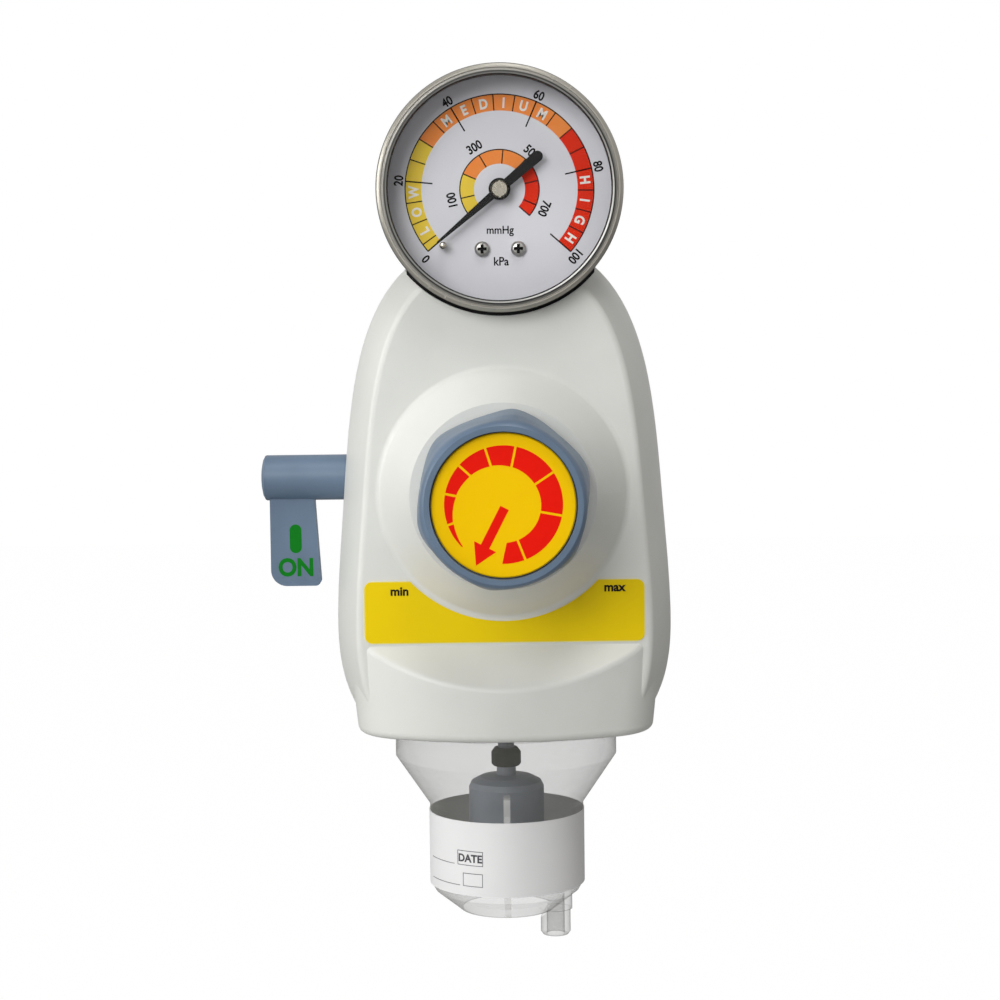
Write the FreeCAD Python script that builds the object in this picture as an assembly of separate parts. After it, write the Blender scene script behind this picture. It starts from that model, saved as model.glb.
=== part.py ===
import FreeCAD, Part
import math
import os

# Vacuum regulator for a wall suction outlet, in millimetres.
# +X is to the viewer's right, +Y runs towards the wall, +Z is up.
# The origin is on the axis of the control knob, in the plane of the housing's back.

V = FreeCAD.Vector
BACKWARD = V(0, 1, 0)
FORWARD = V(0, -1, 0)
UP = V(0, 0, 1)
RIGHT = V(1, 0, 0)

# Housing
wall = 2.5
seam_y = -18.0
seam_groove = 0.4
face_y = -50.0
bottom_z = -63.3
top_z = 60.0
shoulder_half = 22.6
neck_half = 30.0
chest_half = 36.3
arm_half = 40.0
waist_half = 43.0
hip_half = 44.8
thigh_half = 43.5
foot_half = 39.1
foot_corner = 3.0
side_bevel = 6.8
face_round = 1.8
back_bevel = 3.5
boss_base_radius = 32.0
boss_land_radius = 23.7
boss_height = 12.0
boss_blend = 1.9
chin_depth = 61.0
chin_front_radius = 65.4
chin_corner_radius = 16.8
chin_ledge_z = -39.5
chin_crest_z = -49.5
chin_round = 2.0
chin_rise = 6.0
chin_tuck_foot = 0.5
chin_tuck_top = 2.9
post_radius = 4.0
upper_post_x = 30.0
upper_post_z = 30.0
lower_post_x = 36.5
lower_post_z = -38.0
cover_screw_radius = 1.5
cover_screw_head = 2.8
cover_screw_length = 26.0

# Gauge
bezel_radius = 31.3
bezel_bottom_z = 46.2
gauge_z = bezel_bottom_z + bezel_radius
bezel_front_y = -57.0
bezel_wall = 0.9
bezel_depth = 8.2
bezel_lip = 3.1
sight_radius = bezel_radius - bezel_lip
cradle_gap = 0.9
liner_half = 24.0
liner_front_y = -48.3
case_inset = 1.1
case_radius = bezel_radius - case_inset
case_wall = 1.0
case_back_y = -24.0
case_front_y = -51.5
gasket_thickness = 1.0
window_thickness = 2.0
dial_y = -46.0
dial_thickness = 0.8
pointer_length = sight_radius - 6.9
pointer_tail = 14.1
pointer_tail_round = 1.4
pointer_thickness = 0.5
stop_pin_inset = 1.0
dial_screw_radius = 0.95
dial_screw_head = 1.95
dial_screw_length = 6.4
dial_screw_x = 4.65
zero_angle = -130.0
full_angle = 131.6
gear_module = 0.4
pinion_teeth = 10
sector_teeth = 70
tooth_reach = 0.75
tooth_root = 1.15
tooth_share = 0.34
sector_cut_teeth = 11
sector_rest_teeth = 3.5
pivot_x = -gear_module * (pinion_teeth + sector_teeth) / 2
pivot_radius = 0.75
pivot_gap = 0.08
plate_gap_front = -40.5
plate_gap_back = -33.5
plate_thickness = 1.0
sector_y = -37.7
sector_thickness = 1.2
tail_arm = 4.2
tail_angle = 215.0
link_y = -36.3
link_thickness = 0.8
link_pin_radius = 0.6
tube_y = -36.0
tube_inset = 6.2
tube_radius = case_radius - tube_inset
tube_width = 7.0
tube_depth = 2.6
tube_wall = 0.45
tube_start = 285.0
tube_sweep = 279.0
tip_pin_radius = tube_radius - 3.5
socket_drop = tube_radius - 3.5
stem_radius = 5.0
stem_y = -32.0
stem_nut_radius = 7.0
stem_nut_height = 4.0
stem_thread = 9.5

# Knob and regulator
knob_back_y = -62.6
knob_front_y = -89.6
knob_radius = 21.6
knob_front_radius = knob_radius - 1.0
knob_lobe = 0.65
knob_flattening = 0.12
knob_lobes = 6
knob_phase = 10.5
knob_wall = 2.6
disc_radius = knob_front_radius - 3.0
disc_y = -88.0
disc_thickness = 1.4
disc_gap = 0.35
spindle_radius = 4.95
running_gap = 0.05
thread_radius = spindle_radius - 0.75
valve_radius = 28.0
valve_front_y = -34.0
diaphragm_thickness = 1.0
chamber_radius = valve_radius - 6.0
chamber_depth = 7.0
valve_boss_top = 38.5
boss_radius = 8.0
port_radius = 2.4
bonnet_flange = 4.0
bonnet_radius = 17.5
bonnet_bore = bonnet_radius - 3.5
bonnet_shoulder_y = -56.0
nose_radius = 12.0
nose_front_y = -61.5
carrier_thickness = 3.5
carrier_gap = 0.4
spring_wire = 1.8
spring_radius = 9.5
spring_turns = 4
bolt_circle = valve_radius - 3.0
bolt_radius = 1.5
bolt_count = 6
bolt_length = 12.0
bolt_head = 2.6
fixing_circle = 20.0
supply_bore = 2.5
probe_radius = 6.0
probe_length = 26.0
probe_nose_radius = probe_radius - 1.4
shank_step = 0.25
shank_gap = 0.03
plate_radius = 12.0
poppet_radius = 2.0

# Shut-off lever
lever_y = -18.0
lever_z = 2.2
lever_end_x = -63.6
lever_hub_radius = 6.1
lever_hole_gap = 0.4
lever_hub_inner_x = -39.0
valve_spindle_radius = 4.95
valve_spindle_end_x = 7.0
shank_radius = 3.5
flag_left_x = -62.8
flag_right_x = -51.0
flag_foot_x = -49.3
flag_bottom_z = -27.0
flag_thickness = 4.6
cap_dome = 1.4

# Safety jar and float
jar_y = -30.5
jar_top_z = -63.6
rim_radius = 29.4
rim_bottom_z = -71.0
cone_bottom_z = -84.2
jar_radius = 20.5
jar_taper_z = -106.0
jar_bottom_z = -113.0
jar_foot_radius = 13.8
jar_wall = 2.0
neck_radius = 22.5
neck_top_z = -52.2
lug_radius = neck_radius + 1.7
lug_height = 2.5
lug_z = -57.0
socket_radius = lug_radius + 0.4
head_radius = socket_radius + 2.0
head_bottom_z = -60.0
socket_top_z = -50.4
head_top_z = -48.0
nozzle_radius = 7.0
nozzle_bottom_z = -65.0
orifice_radius = 3.1
float_radius = 10.0
float_top_z = -77.0
float_bottom_z = -99.0
stem_rod_radius = 2.15
seal_radius = 3.95
seal_top_z = -69.7
seal_bottom_z = -74.6
spigot_x = 12.8
spigot_radius = 4.0
spigot_bore = 2.4
spigot_bottom_z = -120.6
spigot_collar = 0.5
spigot_collar_z = -113.6
rib_width = 1.7
rib_depth = 1.0
label_half = 36.2
label_top_z = -22.6
label_bottom_z = -38.8
label_arc_radius = 33.2
label_corner = 2.3
label_thickness = 0.2
wrap_top_z = -86.0
wrap_bottom_z = -105.6
wrap_angle = 300.0


def rod_y(radius, y_from, y_to, x=0.0, z=0.0):
    return Part.makeCylinder(radius, y_to - y_from, V(x, y_from, z), BACKWARD)


def rod_z(radius, z_from, z_to, x=0.0, y=0.0):
    return Part.makeCylinder(radius, z_to - z_from, V(x, y, z_from), UP)


def rod_x(radius, x_from, x_to, y=0.0, z=0.0):
    return Part.makeCylinder(radius, x_to - x_from, V(x_from, y, z), RIGHT)


def block(x_from, x_to, y_from, y_to, z_from, z_to):
    return Part.makeBox(x_to - x_from, y_to - y_from, z_to - z_from, V(x_from, y_from, z_from))


def face_of(points):
    return Part.Face(Part.makePolygon(points + [points[0]]))


def turned_y(profile, x=0.0, z=0.0):
    """Solid of revolution about a line along Y; the profile is (radius, y) pairs."""
    outline = face_of([V(x + radius, y, z) for radius, y in profile])
    return outline.revolve(V(x, 0, z), BACKWARD, 360)


def turned_z(profile, x=0.0, y=0.0):
    """Solid of revolution about a line along Z; the profile is (radius, z) pairs."""
    outline = face_of([V(x + radius, y, z) for radius, z in profile])
    return outline.revolve(V(x, y, 0), UP, 360)


def turned_x(profile, y, z):
    """Solid of revolution about a line along X; the profile is (radius, x) pairs."""
    outline = face_of([V(x, y, z + radius) for radius, x in profile])
    return outline.revolve(V(0, y, z), RIGHT, 360)


def united(shapes):
    first = shapes[0]
    if len(shapes) == 1:
        return first
    return first.fuse(shapes[1:]).removeSplitter()


def around(center_x, center_z, radius, count, start=0.0):
    """Places evenly spaced on a circle about a line along Y, clockwise from the top."""
    for index in range(count):
        angle = math.radians(start + 360.0 * index / count)
        yield center_x + radius * math.sin(angle), center_z + radius * math.cos(angle)


def save(name, shape):
    solids = shape.Solids
    kept = solids[0] if len(solids) == 1 else Part.makeCompound(solids)
    kept.exportStep("parts/" + name + ".step")
    print(name, len(solids), "solid", round(sum(s.Volume for s in solids), 2), "mm3", shape.isValid())


# Outline of the housing seen from the front

def side_heights():
    """Half width against height, from the shoulder beside the gauge down to the foot."""
    foot_z = bottom_z + foot_corner
    return [(shoulder_half, top_z), (neck_half, top_z - 7.5), (chest_half, 39.8), (arm_half, 24.0),
            (waist_half, -6.0), (hip_half, -33.0), (thigh_half, -50.0), (foot_half, foot_z)]


def side_curve():
    curve = Part.BSplineCurve()
    curve.interpolate([V(half, 0, z) for half, z in side_heights()])
    return curve


def half_width(curve, z):
    """Half width of the housing at one height, found by halving the curve's range."""
    low, high = curve.FirstParameter, curve.LastParameter
    for _ in range(40):
        middle = (low + high) / 2
        if curve.value(middle).z > z:
            low = middle
        else:
            high = middle
    return curve.value(low).x


def outline(y, inset, rise):
    """Closed outline in the plane y, its sides moved in by inset and its foot up by rise."""
    master = side_curve()
    foot_z = bottom_z + foot_corner + rise
    points = []
    for half, z in side_heights()[:-1]:
        tangent = master.tangent(master.parameter(V(half, 0, z)))[0]
        points.append(V(half + tangent.z * inset, y, z - tangent.x * inset))
    points = [p for p in points if p.z > foot_z + 2.0]
    points.append(V(half_width(master, foot_z) - inset, y, foot_z))
    foot_x = points[-1].x - foot_corner
    floor_z = bottom_z + rise
    bend = foot_corner * math.sqrt(0.5)
    mid = V(foot_x + bend, y, foot_z - bend)
    right = Part.BSplineCurve()
    right.interpolate(points)
    left = Part.BSplineCurve()
    left.interpolate([V(-p.x, y, p.z) for p in reversed(points)])
    edges = [right.toShape(),
             Part.Arc(points[-1], mid, V(foot_x, y, floor_z)).toShape(),
             Part.makeLine(V(foot_x, y, floor_z), V(-foot_x, y, floor_z)),
             Part.Arc(V(-foot_x, y, floor_z), V(-mid.x, y, mid.z), V(-points[-1].x, y, foot_z)).toShape(),
             left.toShape(),
             Part.makeLine(V(-points[0].x, y, points[0].z), points[0])]
    return Part.Wire(edges)


def front_body(shell):
    """Lofted front of the housing, moved in everywhere by the wall when shell is the wall."""
    depth = seam_y - face_y
    steps = 5
    wires = []
    for index in range(steps + 1):
        share = index / steps
        y = seam_y - share * (depth - shell)
        inset = side_bevel * share ** 2.2
        wires.append(outline(y, inset + shell, 0.6 * inset + shell))
    return Part.makeLoft(wires, True)


def back_body(shell):
    """Lofted back of the housing, with a round edge towards the wall."""
    wires = []
    for share in (0.0, 0.5, 0.8, 0.95, 1.0):
        y = seam_y + share * (-seam_y - shell)
        inset = back_bevel * (1 - math.sqrt(max(0.0, 1 - share ** 6)))
        wires.append(outline(y, inset + shell, inset + shell))
    return Part.makeLoft(wires, True)


def chin_section(curve, z, shrink):
    """Plan of the chin at one height: straight sides, round corners and a shallow front arc."""
    climb = (z - bottom_z) / (chin_ledge_z + chin_rise - bottom_z)
    tuck = chin_tuck_foot + climb * (chin_tuck_top - chin_tuck_foot)
    half = half_width(curve, max(z, bottom_z + foot_corner)) - tuck - shrink
    front_y = -chin_depth + shrink
    front_center_y = front_y + chin_front_radius
    reach = chin_front_radius - chin_corner_radius
    corner_x = half - chin_corner_radius
    corner_y = front_center_y - math.sqrt(reach ** 2 - corner_x ** 2)
    turn = math.asin(corner_x / reach)
    meet = V(chin_front_radius * math.sin(turn), front_center_y - chin_front_radius * math.cos(turn), z)
    middle_turn = (turn + math.pi / 2) / 2
    bend = V(corner_x + chin_corner_radius * math.sin(middle_turn),
             corner_y - chin_corner_radius * math.cos(middle_turn), z)
    side = V(half, corner_y, z)
    heel = V(half, seam_y, z)

    def mirrored(point):
        return V(-point.x, point.y, point.z)

    return Part.Wire([
        Part.makeLine(heel, side),
        Part.Arc(side, bend, meet).toShape(),
        Part.Arc(meet, V(0, front_y, z), mirrored(meet)).toShape(),
        Part.Arc(mirrored(meet), mirrored(bend), mirrored(side)).toShape(),
        Part.makeLine(mirrored(side), mirrored(heel)),
        Part.makeLine(mirrored(heel), heel)])


def chin(shell):
    """Bulging chin under the label, with a sloping crescent on top."""
    curve = side_curve()
    floor_z = bottom_z + shell
    top = chin_ledge_z + chin_rise
    body = Part.makeLoft([chin_section(curve, z, shell) for z in (floor_z, top)], True, True)
    drop = chin_crest_z - chin_ledge_z
    run = -chin_depth - face_y
    slope = drop / run
    offset = shell * math.sqrt(1 + slope ** 2)
    back_y = seam_y + 1.0
    front_y = -chin_depth - 5.0
    wedge = face_of([
        V(-60, back_y, chin_ledge_z - offset + slope * (back_y - face_y)),
        V(-60, front_y, chin_ledge_z - offset + slope * (front_y - face_y)),
        V(-60, front_y, 40),
        V(-60, back_y, 40)]).extrude(V(120, 0, 0))
    body = body.cut(wedge)
    if shell > 0:
        return body
    return rounded(body, chin_round, lambda edge: on_chin_rim(edge, floor_z))


def on_chin_rim(edge, floor_z):
    """Whether an edge runs round the foot of the chin or along the front of its crescent."""
    box = edge.BoundBox
    foot = box.ZMax < floor_z + 0.01 and box.YMin < seam_y - 1
    crest = box.ZMin > chin_crest_z - 1 and box.YMax < seam_y - 15 and box.ZLength > 0.5
    return foot or crest


def boss(shell):
    """Raised cone that carries the knob."""
    front_y = face_y - boss_height + shell
    side_shift = shell * 0.6
    land = boss_land_radius - side_shift - shell * 0.3
    return turned_y([(0, face_y + 3.0 + shell), (boss_base_radius - shell, face_y + 3.0 + shell),
                     (boss_base_radius - side_shift, face_y), (land, front_y), (0, front_y)])


def on_boss_foot(edge):
    return edge.Curve.TypeId == "Part::GeomCircle" and abs(edge.Curve.Radius - boss_base_radius) < 0.01


def rounded(shape, radius, chosen):
    edges = [edge for edge in shape.Edges if chosen(edge)]
    return shape.makeFillet(radius, edges)


def front_outside():
    body = front_body(0.0)
    face_edges = [edge for edge in body.Edges
                  if abs(edge.BoundBox.YMin - face_y) < 0.01 and abs(edge.BoundBox.YMax - face_y) < 0.01]
    body = body.makeFillet(face_round, face_edges)
    body = united([body, chin(0.0), boss(0.0)])
    return rounded(body, boss_blend, on_boss_foot)


def cradle(extra):
    """Space around the gauge, from the front to the back."""
    radius = bezel_radius + cradle_gap + extra
    return rod_y(radius, -chin_depth - 10, 10, 0, gauge_z)


def parting_groove():
    """Shallow groove that marks the joint of the two covers all round the housing."""
    half = seam_groove / 2
    rim = Part.Face(outline(seam_y - half, -1.0, -1.0)).extrude(V(0, seam_groove, 0))
    core = Part.Face(outline(seam_y - half, seam_groove, seam_groove)).extrude(V(0, seam_groove, 0))
    return rim.cut(core)


def jar_hole():
    return rod_z(neck_radius + 2.4, bottom_z - 1, bottom_z + wall + 1, 0, jar_y)


def lever_hole():
    return rod_x(lever_hub_radius + lever_hole_gap, -60, -30, lever_y, lever_z)


def post_places():
    return [(-upper_post_x, upper_post_z), (upper_post_x, upper_post_z),
            (-lower_post_x, lower_post_z), (lower_post_x, lower_post_z)]


def front_cover():
    outside = front_outside()
    inside = united([front_body(wall), chin(wall), boss(wall)])
    shell = outside.cut(cradle(0.0)).cut(inside.cut(cradle(wall)))
    posts = [rod_y(post_radius, seam_y - cover_screw_length + 4, seam_y, x, z).common(outside)
             for x, z in post_places()]
    shell = united([shell] + posts)
    pilots = [rod_y(cover_screw_radius, seam_y - cover_screw_length + 6, seam_y + 1, x, z)
              for x, z in post_places()]
    knob_hole = rod_y(nose_radius + 0.4, face_y - boss_height - 1, face_y + 5)
    stem_slot = united([rod_z(stem_radius + 1.0, gauge_z - 50, gauge_z - 25, 0, stem_y),
                        block(-stem_radius - 1.0, stem_radius + 1.0, stem_y, seam_y + 1,
                              gauge_z - 50, gauge_z - 25)])
    return shell.cut(pilots + [knob_hole, stem_slot, jar_hole(), lever_hole(), parting_groove()])


def back_cover():
    shell = back_body(0.0).cut(cradle(0.0)).cut(back_body(wall).cut(cradle(wall)))
    posts = [rod_y(post_radius, seam_y, -1.0, x, z) for x, z in post_places()]
    shell = united([shell] + posts)
    holes = [rod_y(cover_screw_radius + 0.2, seam_y - 1, 1, x, z) for x, z in post_places()]
    sinks = [rod_y(cover_screw_head + 0.3, -4.0, 1, x, z) for x, z in post_places()]
    fixing_holes = [turned_y([(0, -5), (bolt_radius + 0.2, -5), (bolt_radius + 0.2, -1.4),
                              (cover_screw_head + 0.1, -0.1), (cover_screw_head + 0.1, 1), (0, 1)], x, z)
                    for x, z in fixing_places()]
    probe_hole = rod_y(probe_radius + 0.3, -5, 1)
    return shell.cut(holes + sinks + fixing_holes + [probe_hole, jar_hole(), lever_hole(), parting_groove()])


def pan_screw(x, z, head_y, length, radius, head_radius, toward):
    """Screw along Y with a domed head and a cross recess; toward is +1 when it points to the wall."""
    head = 0.85 * head_radius
    profile = [(0, 0), (radius, 0), (radius, length), (head_radius, length),
               (head_radius, length + 0.45 * head), (0.7 * head_radius, length + 0.85 * head),
               (0, length + head)]
    body = turned_y([(r, -y) for r, y in profile])
    slot = 0.22 * head_radius
    reach = 0.6 * head_radius
    deep = length + 0.45 * head
    cross = united([block(-reach, reach, -length - 2 * head, -deep, -slot, slot),
                    block(-slot, slot, -length - 2 * head, -deep, -reach, reach)])
    body = body.cut(cross)
    if toward < 0:
        body.rotate(V(0, 0, 0), UP, 180)
    body.translate(V(x, head_y + toward * length, z))
    return body


def cover_screws():
    return Part.makeCompound([
        pan_screw(x, z, -4.0, cover_screw_length, cover_screw_radius, cover_screw_head, -1)
        for x, z in post_places()])


def fixing_places():
    return list(around(0, 0, fixing_circle, 4, 45.0))


def fixing_screws():
    """Countersunk screws that hold the regulator in the back cover."""
    screws = []
    for x, z in fixing_places():
        body = turned_y([(0, -12.0), (bolt_radius, -12.0), (bolt_radius, -1.45), (cover_screw_head, -0.15),
                         (0, -0.15)], x, z)
        screws.append(body.cut([block(x - 1.5, x + 1.5, -1.4, 1, z - 0.35, z + 0.35),
                                block(x - 0.35, x + 0.35, -1.4, 1, z - 1.5, z + 1.5)]))
    return Part.makeCompound(screws)


def front_label():
    y = face_y
    half, top, bottom, corner = label_half, label_top_z, label_bottom_z, label_corner
    plate = block(-half, half, y - label_thickness, y, bottom, top)
    upright = [edge for edge in plate.Edges if abs(edge.BoundBox.YLength - label_thickness) < 0.001]
    plate = plate.makeFillet(corner, upright)
    return plate.cut(rod_y(label_arc_radius, y - 1, y + 1))


# Gauge

def gauge_case():
    inner = case_radius - case_wall
    cup = turned_y([(0, case_back_y), (case_radius - 1.5, case_back_y), (case_radius, case_back_y - 1.5),
                    (case_radius, case_front_y), (inner, case_front_y),
                    (inner, case_back_y - 1.5 - case_wall / 2), (inner - 1.0, case_back_y - case_wall),
                    (0, case_back_y - case_wall)], 0, gauge_z)
    return cup.cut(rod_z(stem_radius + 0.3, gauge_z - 40, gauge_z - 20, 0, stem_y))


def gauge_bezel():
    skirt_y = bezel_front_y + bezel_depth
    lip_y = case_front_y - gasket_thickness - window_thickness
    front = bezel_front_y
    cavity = bezel_radius - bezel_wall
    return turned_y([
        (bezel_radius, skirt_y), (bezel_radius, front + 1.8), (bezel_radius - 0.35, front + 0.8),
        (bezel_radius - 0.9, front + 0.35), (bezel_radius - 1.25, front + 0.35),
        (bezel_radius - 1.35, front + 0.75), (bezel_radius - 1.65, front + 0.75),
        (bezel_radius - 1.75, front + 0.2), (bezel_radius - 2.3, front),
        (bezel_radius - 2.75, front + 0.15), (sight_radius, front + 0.8), (sight_radius, lip_y),
        (cavity, lip_y), (cavity, skirt_y)], 0, gauge_z)


def window_gasket():
    inner = case_radius - 1.6
    return turned_y([(case_radius, case_front_y), (inner, case_front_y),
                     (inner, case_front_y - gasket_thickness),
                     (case_radius, case_front_y - gasket_thickness)], 0, gauge_z)


def gauge_window():
    back_y = case_front_y - gasket_thickness
    return rod_y(case_radius, back_y - window_thickness, back_y, 0, gauge_z)


def dial_screw_places():
    drop = socket_drop - 5.4
    return [(-dial_screw_x, gauge_z - drop), (dial_screw_x, gauge_z - drop)]


def stop_pin_place():
    """The pin stands where the resting pointer leans on it."""
    radius = pointer_length - stop_pin_inset
    clear = 0.9 + 0.4 + 0.15
    angle = math.radians(zero_angle) - math.asin(clear / radius)
    return radius * math.sin(angle), gauge_z + radius * math.cos(angle)


def gauge_dial():
    plate = rod_y(case_radius - case_wall - 0.3, dial_y, dial_y + dial_thickness, 0, gauge_z)
    holes = [rod_y(2.0, dial_y - 1, dial_y + 2, 0, gauge_z)]
    for x, z in dial_screw_places():
        holes.append(rod_y(1.0, dial_y - 1, dial_y + 2, x, z))
    pin_x, pin_z = stop_pin_place()
    holes.append(rod_y(0.9, dial_y - 1, dial_y + 2, pin_x, pin_z))
    return plate.cut(holes)


def stop_pin():
    x, z = stop_pin_place()
    return turned_y([(0, dial_y + dial_thickness), (0.9, dial_y + dial_thickness), (0.9, dial_y - 3.2),
                     (0.6, dial_y - 3.6), (0, dial_y - 3.7)], x, z)


def dial_screws():
    return Part.makeCompound([pan_screw(x, z, dial_y, dial_screw_length, dial_screw_radius, dial_screw_head, 1)
                              for x, z in dial_screw_places()])


def movement_outline(y):
    z = gauge_z
    left = pivot_x - 4.0
    foot = z - socket_drop
    return face_of([V(6, y, foot), V(-6, y, foot), V(-6.5, y, z - 11), V(-5.5, y, z - 6.5),
                    V(left + 2, y, z - 6.5), V(left, y, z - 4), V(left, y, z + 4), V(left + 2, y, z + 6.5),
                    V(3, y, z + 6.5), V(5.5, y, z + 4), V(5.5, y, z - 9), V(6.5, y, z - 11)])


def pillar_places():
    low = gauge_z - socket_drop + 2.1
    return [(-4.4, low), (4.4, low), (3.4, gauge_z + 4.0), (pivot_x, gauge_z + 4.9)]


def movement_plates():
    plates = []
    for y in (plate_gap_front, plate_gap_back):
        plate = movement_outline(y).extrude(V(0, plate_thickness, 0))
        holes = [rod_y(pivot_radius + pivot_gap, y - 1, y + 2, 0, gauge_z),
                 rod_y(pivot_radius + pivot_gap, y - 1, y + 2, pivot_x, gauge_z)]
        for x, z in dial_screw_places():
            holes.append(rod_y(dial_screw_radius + 0.02, y - 1, y + 2, x, z))
        plates.append(plate.cut(holes))
    return Part.makeCompound(plates)


def movement_pillars():
    front = plate_gap_front + plate_thickness
    return Part.makeCompound([rod_y(1.0, front, plate_gap_back, x, z) for x, z in pillar_places()])


def dial_posts():
    posts = []
    for x, z in dial_screw_places():
        post = rod_y(2.0, dial_y + dial_thickness, plate_gap_front, x, z)
        posts.append(post.cut(rod_y(dial_screw_radius + 0.02, dial_y, plate_gap_front + 1, x, z)))
    return Part.makeCompound(posts)


def gear_face(teeth, count, center_x, y):
    """Toothed outline about a line along Y, with a tooth towards +X; a part of a gear ends at its centre."""
    pitch = 360.0 / teeth
    rolling = gear_module * teeth / 2
    outer = rolling + tooth_reach * gear_module
    root = rolling - tooth_root * gear_module
    foot = tooth_share * 0.78
    tip = tooth_share * 0.3
    points = []
    for index in range(-(count // 2), count - count // 2):
        for share, radius in ((-0.5, root), (-foot, root), (-tip, outer), (tip, outer), (foot, root)):
            turn = math.radians((index + share) * pitch)
            points.append(V(center_x + radius * math.cos(turn), y, gauge_z + radius * math.sin(turn)))
    if count < teeth:
        points.append(V(center_x, y, gauge_z))
    return face_of(points)


def pinion_shaft():
    teeth = gear_face(pinion_teeth, pinion_teeth, 0, -38.8).extrude(V(0, 3.4, 0))
    pointer_seat = pointer_y() - 0.6
    return united([teeth, rod_y(pivot_radius, pointer_seat, plate_gap_back + plate_thickness + 0.6, 0, gauge_z)])


def sector_rest_turn():
    """Clockwise turn of the sector that puts a gap on the line of centres with the pointer at zero."""
    return sector_rest_teeth * 360.0 / sector_teeth


def sector_window():
    """Opening that lightens the sector between its hub and its teeth."""
    inner = gear_module * sector_teeth / 2 - 2.6
    half_turn = (sector_cut_teeth // 2 - 1.2) * 360.0 / sector_teeth
    points = [V(pivot_x + 4.5, sector_y - 1, gauge_z)]
    for share in (-1.0, -0.5, 0.0, 0.5, 1.0):
        turn = math.radians(share * half_turn)
        points.append(V(pivot_x + inner * math.cos(turn), sector_y - 1, gauge_z + inner * math.sin(turn)))
    return face_of(points).extrude(V(0, 4, 0))


def sector_gear():
    back_y = sector_y + sector_thickness
    blade = gear_face(sector_teeth, sector_cut_teeth, pivot_x, sector_y).extrude(V(0, sector_thickness, 0))
    blade = blade.cut(sector_window())
    hub = rod_y(2.4, sector_y - 0.9, back_y + 0.9, pivot_x, gauge_z)
    shaft = rod_y(pivot_radius, plate_gap_front - 0.6, plate_gap_back + plate_thickness + 0.6, pivot_x, gauge_z)
    arm = block(0, tail_arm, sector_y, back_y, -0.9, 0.9)
    arm.rotate(V(0, 0, 0), FORWARD, tail_angle)
    arm.translate(V(pivot_x, 0, gauge_z))
    eye_x, eye_z = on_tail(tail_angle)
    eye = rod_y(1.3, sector_y, back_y, eye_x, eye_z)
    body = united([blade, hub, shaft, arm, eye])
    body = body.cut(rod_y(link_pin_radius + pivot_gap, sector_y - 1, back_y + 1, eye_x, eye_z))
    body.rotate(V(pivot_x, 0, gauge_z), BACKWARD, sector_rest_turn())
    return body


def on_tail(angle):
    turn = math.radians(angle)
    return pivot_x + tail_arm * math.cos(turn), gauge_z + tail_arm * math.sin(turn)


def link_eye():
    """Place of the link's own pin with the pointer at zero."""
    return on_tail(tail_angle - sector_rest_turn())


def tip_eye():
    """Place of the pin that joins the tube's tip to the link."""
    turn = math.radians(tube_start + tube_sweep)
    return tip_pin_radius * math.cos(turn), gauge_z + tip_pin_radius * math.sin(turn)


def bourdon_tube():
    """Flat tube bent into an open ring, closed by a plug with a fork and pin for the link."""
    ring = tube_section(tube_depth, tube_width, tube_start, tube_sweep)
    bore = tube_section(tube_depth - 2 * tube_wall, tube_width - 2 * tube_wall, tube_start - 1, tube_sweep - 2)
    fork_in = tip_pin_radius - 1.3
    fork = block(fork_in, tube_radius + tube_depth / 2 - 0.4, link_y - 1.3, link_y + link_thickness + 1.3, -1.3, 1.3)
    slot = block(fork_in - 1, tip_pin_radius + 1.7, link_y - 0.3, link_y + link_thickness + 0.3, -2, 2)
    pin = rod_y(link_pin_radius, link_y - 1.2, link_y + link_thickness + 1.2, tip_pin_radius, 0)
    fork = united([fork.cut(slot), pin])
    fork.rotate(V(0, 0, 0), FORWARD, tube_start + tube_sweep)
    fork.translate(V(0, 0, gauge_z))
    return united([ring.cut(bore), fork])


def tube_section(depth, width, start, sweep):
    """Six-sided flat section carried round the gauge, counterclockwise from the start angle."""
    x_in, x_out = tube_radius - depth / 2, tube_radius + depth / 2
    low, high = tube_y - width / 2, tube_y + width / 2
    edge = 0.35 * depth
    section = face_of([
        V(x_in, low + edge, gauge_z), V(x_in, high - edge, gauge_z), V(tube_radius, high, gauge_z),
        V(x_out, high - edge, gauge_z), V(x_out, low + edge, gauge_z), V(tube_radius, low, gauge_z)])
    ring = section.revolve(V(0, 0, gauge_z), FORWARD, sweep)
    ring.rotate(V(0, 0, gauge_z), FORWARD, start)
    return ring


def movement_link():
    """Flat link from the sector's tail to the tip of the tube."""
    eye_x, eye_z = link_eye()
    tip_x, tip_z = tip_eye()
    span = math.hypot(tip_x - eye_x, tip_z - eye_z)
    angle = math.degrees(math.atan2(tip_z - eye_z, tip_x - eye_x))
    back_y = link_y + link_thickness
    bar = united([block(0, span, link_y, back_y, -0.6, 0.6), rod_y(1.2, link_y, back_y),
                  rod_y(1.3, link_y, back_y, span), rod_y(link_pin_radius, sector_y - 0.5, back_y)])
    bar = bar.cut(rod_y(link_pin_radius + pivot_gap, link_y - 1, back_y + 1, span))
    bar.rotate(V(0, 0, 0), FORWARD, angle)
    bar.translate(V(eye_x, 0, eye_z))
    return bar


def gauge_socket():
    top = gauge_z - socket_drop
    foot = gauge_z - case_radius + case_wall + 1.4
    body = block(-8, 8, plate_gap_front, plate_gap_back + plate_thickness + 4.5, foot, top)
    stem_top = foot + 0.8
    stem = rod_z(stem_radius, valve_boss_top - stem_thread, stem_top, 0, stem_y)
    nut = hexagon(stem_nut_radius, valve_boss_top, valve_boss_top + stem_nut_height)
    socket = united([body, stem, nut])
    root = tube_section(tube_depth, tube_width, tube_start - 12, 30)
    return socket.cut([root, rod_z(1.2, valve_boss_top - 11, top - 3, 0, stem_y)])


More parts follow.
